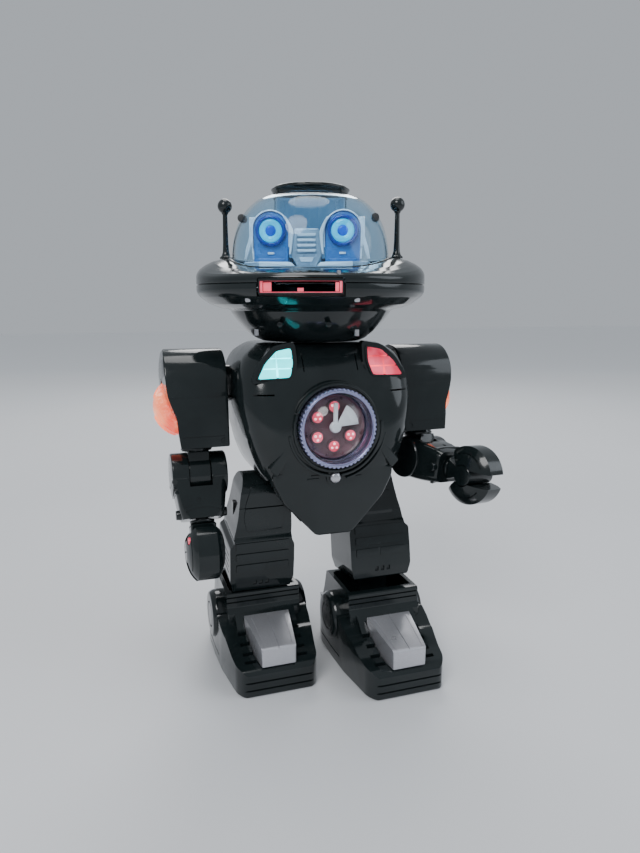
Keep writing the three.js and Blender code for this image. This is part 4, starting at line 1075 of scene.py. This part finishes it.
POD_R, TOE_Y = 19.5, -77
ROLLER = (-22, -26.6)
LEG_SIDE = [
    *arc(16, 0, 180, 24), (-20.5, -22), (-20.5, -30), (-23, -32), (-24.4, -52), (-24.4, -68), (-22.5, -76),
    (22.5, -76), (24, -68), (24, -48), (20.5, -24),
]
LEG_FRONT = [
    (-22, 16), (14, 16), (17.5, 4), (20, -14), (23.5, -30), (23.5, -34), (27, -37), (27, -66), (24.5, -76),
    (-21.5, -76), (-24, -66), (-24, -38), (-22, -34),
]
# The space inside the leg from the side, and the thigh from the front and from the side.
LEG_ROOM = [(-13, -9), (13, -9), (17, -24), (20.5, -50), (20.5, -80), (-20.5, -80), (-20.5, -50), (-17, -24)]
THIGH = [(-15, 10), (9, 10), (13.5, -3), (15.5, -14), (14, -25), (-14, -25), (-16, -12)]
THIGH_SIDE = [*arc(16, 0, 180, 24), (-20.5, -22), (-20.5, -30), (20, -30)]


def leg():
    ankle = -LEG_LENGTH
    outside = common(
        prism("x", rounded(LEG_SIDE, 1.2, 3), -30, 30),
        prism("y", rounded(LEG_FRONT, 1.6, 3), -30, 30),
    )
    shell = cut(outside, common(
        box((-21, 20.5), (-20.5, 20.5), (-80, -9)),
        prism("y", [(-21, -9), (15, -9), (20.5, -40), (20.5, -80), (-21, -80)], -30, 30),
        prism("x", LEG_ROOM, -30, 30),
    ))
    ribs = [common(
        prism("z", rounded(rect(-19.5, 22.5, -26, 0), 2), z - 3.1, z + 3.1, 0.8),
        prism("x", inset(LEG_SIDE, -0.9), -30, 30),
    ) for z in (-36.5, -45.5, -54.5)]
    thigh = common(
        prism("y", rounded(THIGH, 1.6), -21.6, -12, 0.8),
        prism("x", inset(THIGH_SIDE, -1), -40, 40),
    )
    shell = join(
        shell,
        box((-12, 12), (-8.6, 8.6), (ankle, -8), 0.5),
        box((-21.4, 21), (-3, 3), (-62, -8)),
        pin("x", 8.6, -12, 12, (0, ankle), 48, 0.6),
        thigh,
        *ribs,
        rod("x", 11.5, 11, -23.2, -20, (0, 0), 56),
    )
    cuts = [box((-30, 30), (-30, -17), (-7.2, -6.2)), box((-1, 1), (-30, -25), (-58, -33))]
    cuts += [box((-4 + 5 * i, -1 + 5 * i), (-30, -22.6), (-70.4, -66.6), 0.3) for i in range(3)]
    cuts += [box((26.3, 30), (-18, 14), (z, z + 1.1)) for z in (-61, -56, -51, -46)]
    return cut(
        shell,
        pin("x", AXLE_BORE, -30, -1.5, (0, 0)),
        pin("x", 4.4, -20, 20, (0, ankle), 32),
        *cuts,
    )


FOOT_PLAN = [
    (-26, TOE_Y), (26, TOE_Y), (31, TOE_Y + 8), (36, -32), (37, -8), (37, 20), (32, 38), (27, 42),
    (-27, 42), (-32, 38), (-37, 20), (-37, -8), (-36, -32), (-31, TOE_Y + 8),
]
FOOT_SIDE = [
    (TOE_Y, -33), (TOE_Y, -15), (TOE_Y + 4, -12), (-58, -8), (-40, 2), (-27, 14), (-27, 27.5), (27.5, 27.5),
    (33, 10), (42, -8), (42, -33),
]


def foot():
    slope = [(-90, -40), (-90, -5), (-40, 0), (-22, 8), (22, 8), (60, -4), (60, -40)]
    shell = common(
        prism("z", rounded(FOOT_PLAN, 4), -33, 40, 1.2, 3),
        prism("x", rounded(FOOT_SIDE, 2.2, 3), -50, 50),
        join(
            box((-29.5, 29.5), (-30, 60), (-40, 40), 1.2),
            prism("x", rounded(slope, 2, 3), -60, 60),
            box((-24, 24), (-60, -29), (-40, 40), 1),
        ),
    )
    drum = [(0, -39), (17.5, -39), (POD_R, -35.5), (POD_R, 35.5), (17.5, 39), (0, 39)]
    circles = [turned(rect(9.4, 10.6, s * 38.4, s * 41), "x", segments=48) for s in (-1, 1)]
    shell = join(shell, cut(spun(drum, 1.2, 3, "x"), *circles))
    grooves = [box((-40, 40), (-30, -25.6), (z, z + 1.1)) for z in (19.2, 23.2)]
    grooves += [box((-40, 40), (TOE_Y - 2, TOE_Y + 1.3), (z, z + 1.3)) for z in (-28, -22)]
    for s in (-1, 1):
        for i in range(4):
            y = -68 + 8 * i
            grooves.append(box(sorted((s * 15.5, s * 24)), (y, y + 3), (-13.6 + 3 * i, 10)))
        grooves.append(box(sorted((s * 33.8, s * 40)), (-24, 26), (-24.6, -23.6)))
    shell = cut(
        shell,
        box((-26, 26), (-20.5, 21), (-14, 40), 0.8),
        prism("z", [(-18.4, -34.6), (18.4, -34.6), (13.5, -80), (-13.5, -80)], -12, 40),
        box((-17, 17), (ROLLER[0] - 8, ROLLER[0] + 8), (-40, -18)),
        pin("x", 2.4, -20, 20, ROLLER, 28),
        *grooves,
    )
    return join(shell, pin("x", 4, -27, 27, (0, 0), 32))


def toe_box():
    plan = rounded([(-18, -35), (18, -35), (13, -75.4), (-13, -75.4)], 1.2, 3)
    side_line = rounded([(-35, -20), (-35, 12), (-73.8, 3.2), (-75.4, 1.6), (-75.4, -20)], 1.4, 3)
    solid = common(prism("z", plan, -11.7, 20, 1, 3), prism("x", side_line, -30, 30))
    line = prism("x", [(-30, 30), (-30, 12.3), (-73.8, 2.3), (-90, -2), (-90, 30)], -0.35, 0.35)
    rails = []
    for s in (-1, 1):
        rail = prism("z", [(s * 12.6, -40), (s * 13.3, -40), (s * 10.6, -76), (s * 9.9, -76)], -20, 30)
        above = prism("x", [(-30, 30), (-30, 12.7), (-73.8, 2.9), (-90, -1.4), (-90, 30)], -30, 30)
        rails.append(common(rail, above))
    return cut(solid, line, *rails)


def roller():
    tread = [(0, -16), (5.2, -16), (6, -15.2)]
    for i in range(8):
        x = -15.2 + 3.8 * i
        tread += [(6, x + 2.9), (5.4, x + 3.1), (5.4, x + 3.6), (6, x + 3.8)]
    tread += [(6, 15.2), (5.2, 16), (0, 16)]
    return join(turned(tread, "x", ROLLER, 40), pin("x", 2, -19.5, 19.5, ROLLER, 24))


def make_leg(side, name):
    where = limbs[name]
    for label, solid, place, body, slot, node, soft in (
        ("leg_shell", leg(), "leg", "leg", "shell", "leg", 0.35),
        ("foot_shell", foot(), "foot", "foot", "shell", "foot", 0.35),
        ("toe_cover", toe_box(), "foot", "foot", "silver_paint", "toe_box", 0.3),
        ("sole_roller", roller(), "foot", "roller", "roller_rubber", "foot_roller", 0),
    ):
        piece(f"{label}_{name}", solid, where[place], f"{body}_{name}", slot, f"{node}_{name}", side, soft)


make_torso()
make_belly()
make_back()
make_head()
make_mouth()
make_dome()
make_face()
make_eyes()
for side, name in SIDES:
    make_arm(side, name)
    make_leg(side, name)

# ------------------------------------------------------------------ stage, light and camera


def area(name, place, aim, width, power, colour=(1, 1, 1)):
    lamp_data = bpy.data.lights.new(name, "AREA")
    lamp_data.shape = "DISK"
    lamp_data.size = width
    lamp_data.energy = power
    lamp_data.color = colour
    obj = add_object(name, lamp_data)
    obj.location = place
    obj.rotation_euler = (Vector(aim) - Vector(place)).to_track_quat("-Z", "Y").to_euler()


def make_stage():
    bm = bmesh.new()
    bmesh.ops.create_grid(bm, x_segments=1, y_segments=1, size=6)
    mesh = bpy.data.meshes.new("floor")
    bm.to_mesh(mesh)
    bm.free()
    floor = add_object("floor", mesh)
    mat, tree, shader = nodes_of("floor")
    # Painted shade: the floor is coloured darker within about 0.6 m of the robot and lightens out to 2.4 m.
    reach = add_node(tree, "VectorMath")
    reach.operation = "LENGTH"
    tree.links.new(object_place(tree), reach.inputs[0])
    painted_floor_falloff = remap(tree, reach.outputs["Value"], 0.6, 2.4, 0, 1)
    fill(
        shader,
        Base_Color=blend_colour(tree, painted_floor_falloff, (0.64, 0.65, 0.67), (0.94, 0.95, 0.96)),
        Roughness=remap(tree, noise(tree, 3, 3), 0.3, 0.7, 0.5, 0.62),
    )
    mesh.materials.append(mat)
    world = bpy.data.worlds.new("studio")
    bpy.context.scene.world = world
    world.use_nodes = True
    fill(world.node_tree.nodes["Background"], Color=(0.72, 0.77, 0.83, 1), Strength=0.62)
    area("key", (-0.9, -1, 1.5), (0, 0, 0.2), 0.9, 18)
    area("fill", (1.3, -0.7, 0.9), (0, 0, 0.2), 1.2, 8, (0.85, 0.92, 1))
    area("back", (0.4, 1.3, 1.3), (0, 0, 0.25), 1, 12)
    area("top", (0, 0.1, 1.6), (0, 0, 0.2), 0.8, 7)


# The camera: place in metres, the angles it looks aside and down, and its focal length.
CAMERA_AT, CAMERA_YAW, CAMERA_PITCH, CAMERA_LENS = (-0.1587, -0.4914, 0.2855), 18.3, 10.7, 27.85


def make_camera():
    camera = add_object("camera", bpy.data.cameras.new("camera"))
    camera.data.lens = CAMERA_LENS
    camera.data.clip_start = 0.01
    camera.location = CAMERA_AT
    side, down = math.radians(CAMERA_YAW), math.radians(CAMERA_PITCH)
    look = Vector((math.sin(side) * math.cos(down), math.cos(side) * math.cos(down), -math.sin(down)))
    camera.rotation_euler = look.to_track_quat("-Z", "Y").to_euler()
    bpy.context.scene.camera = camera


make_stage()
make_camera()
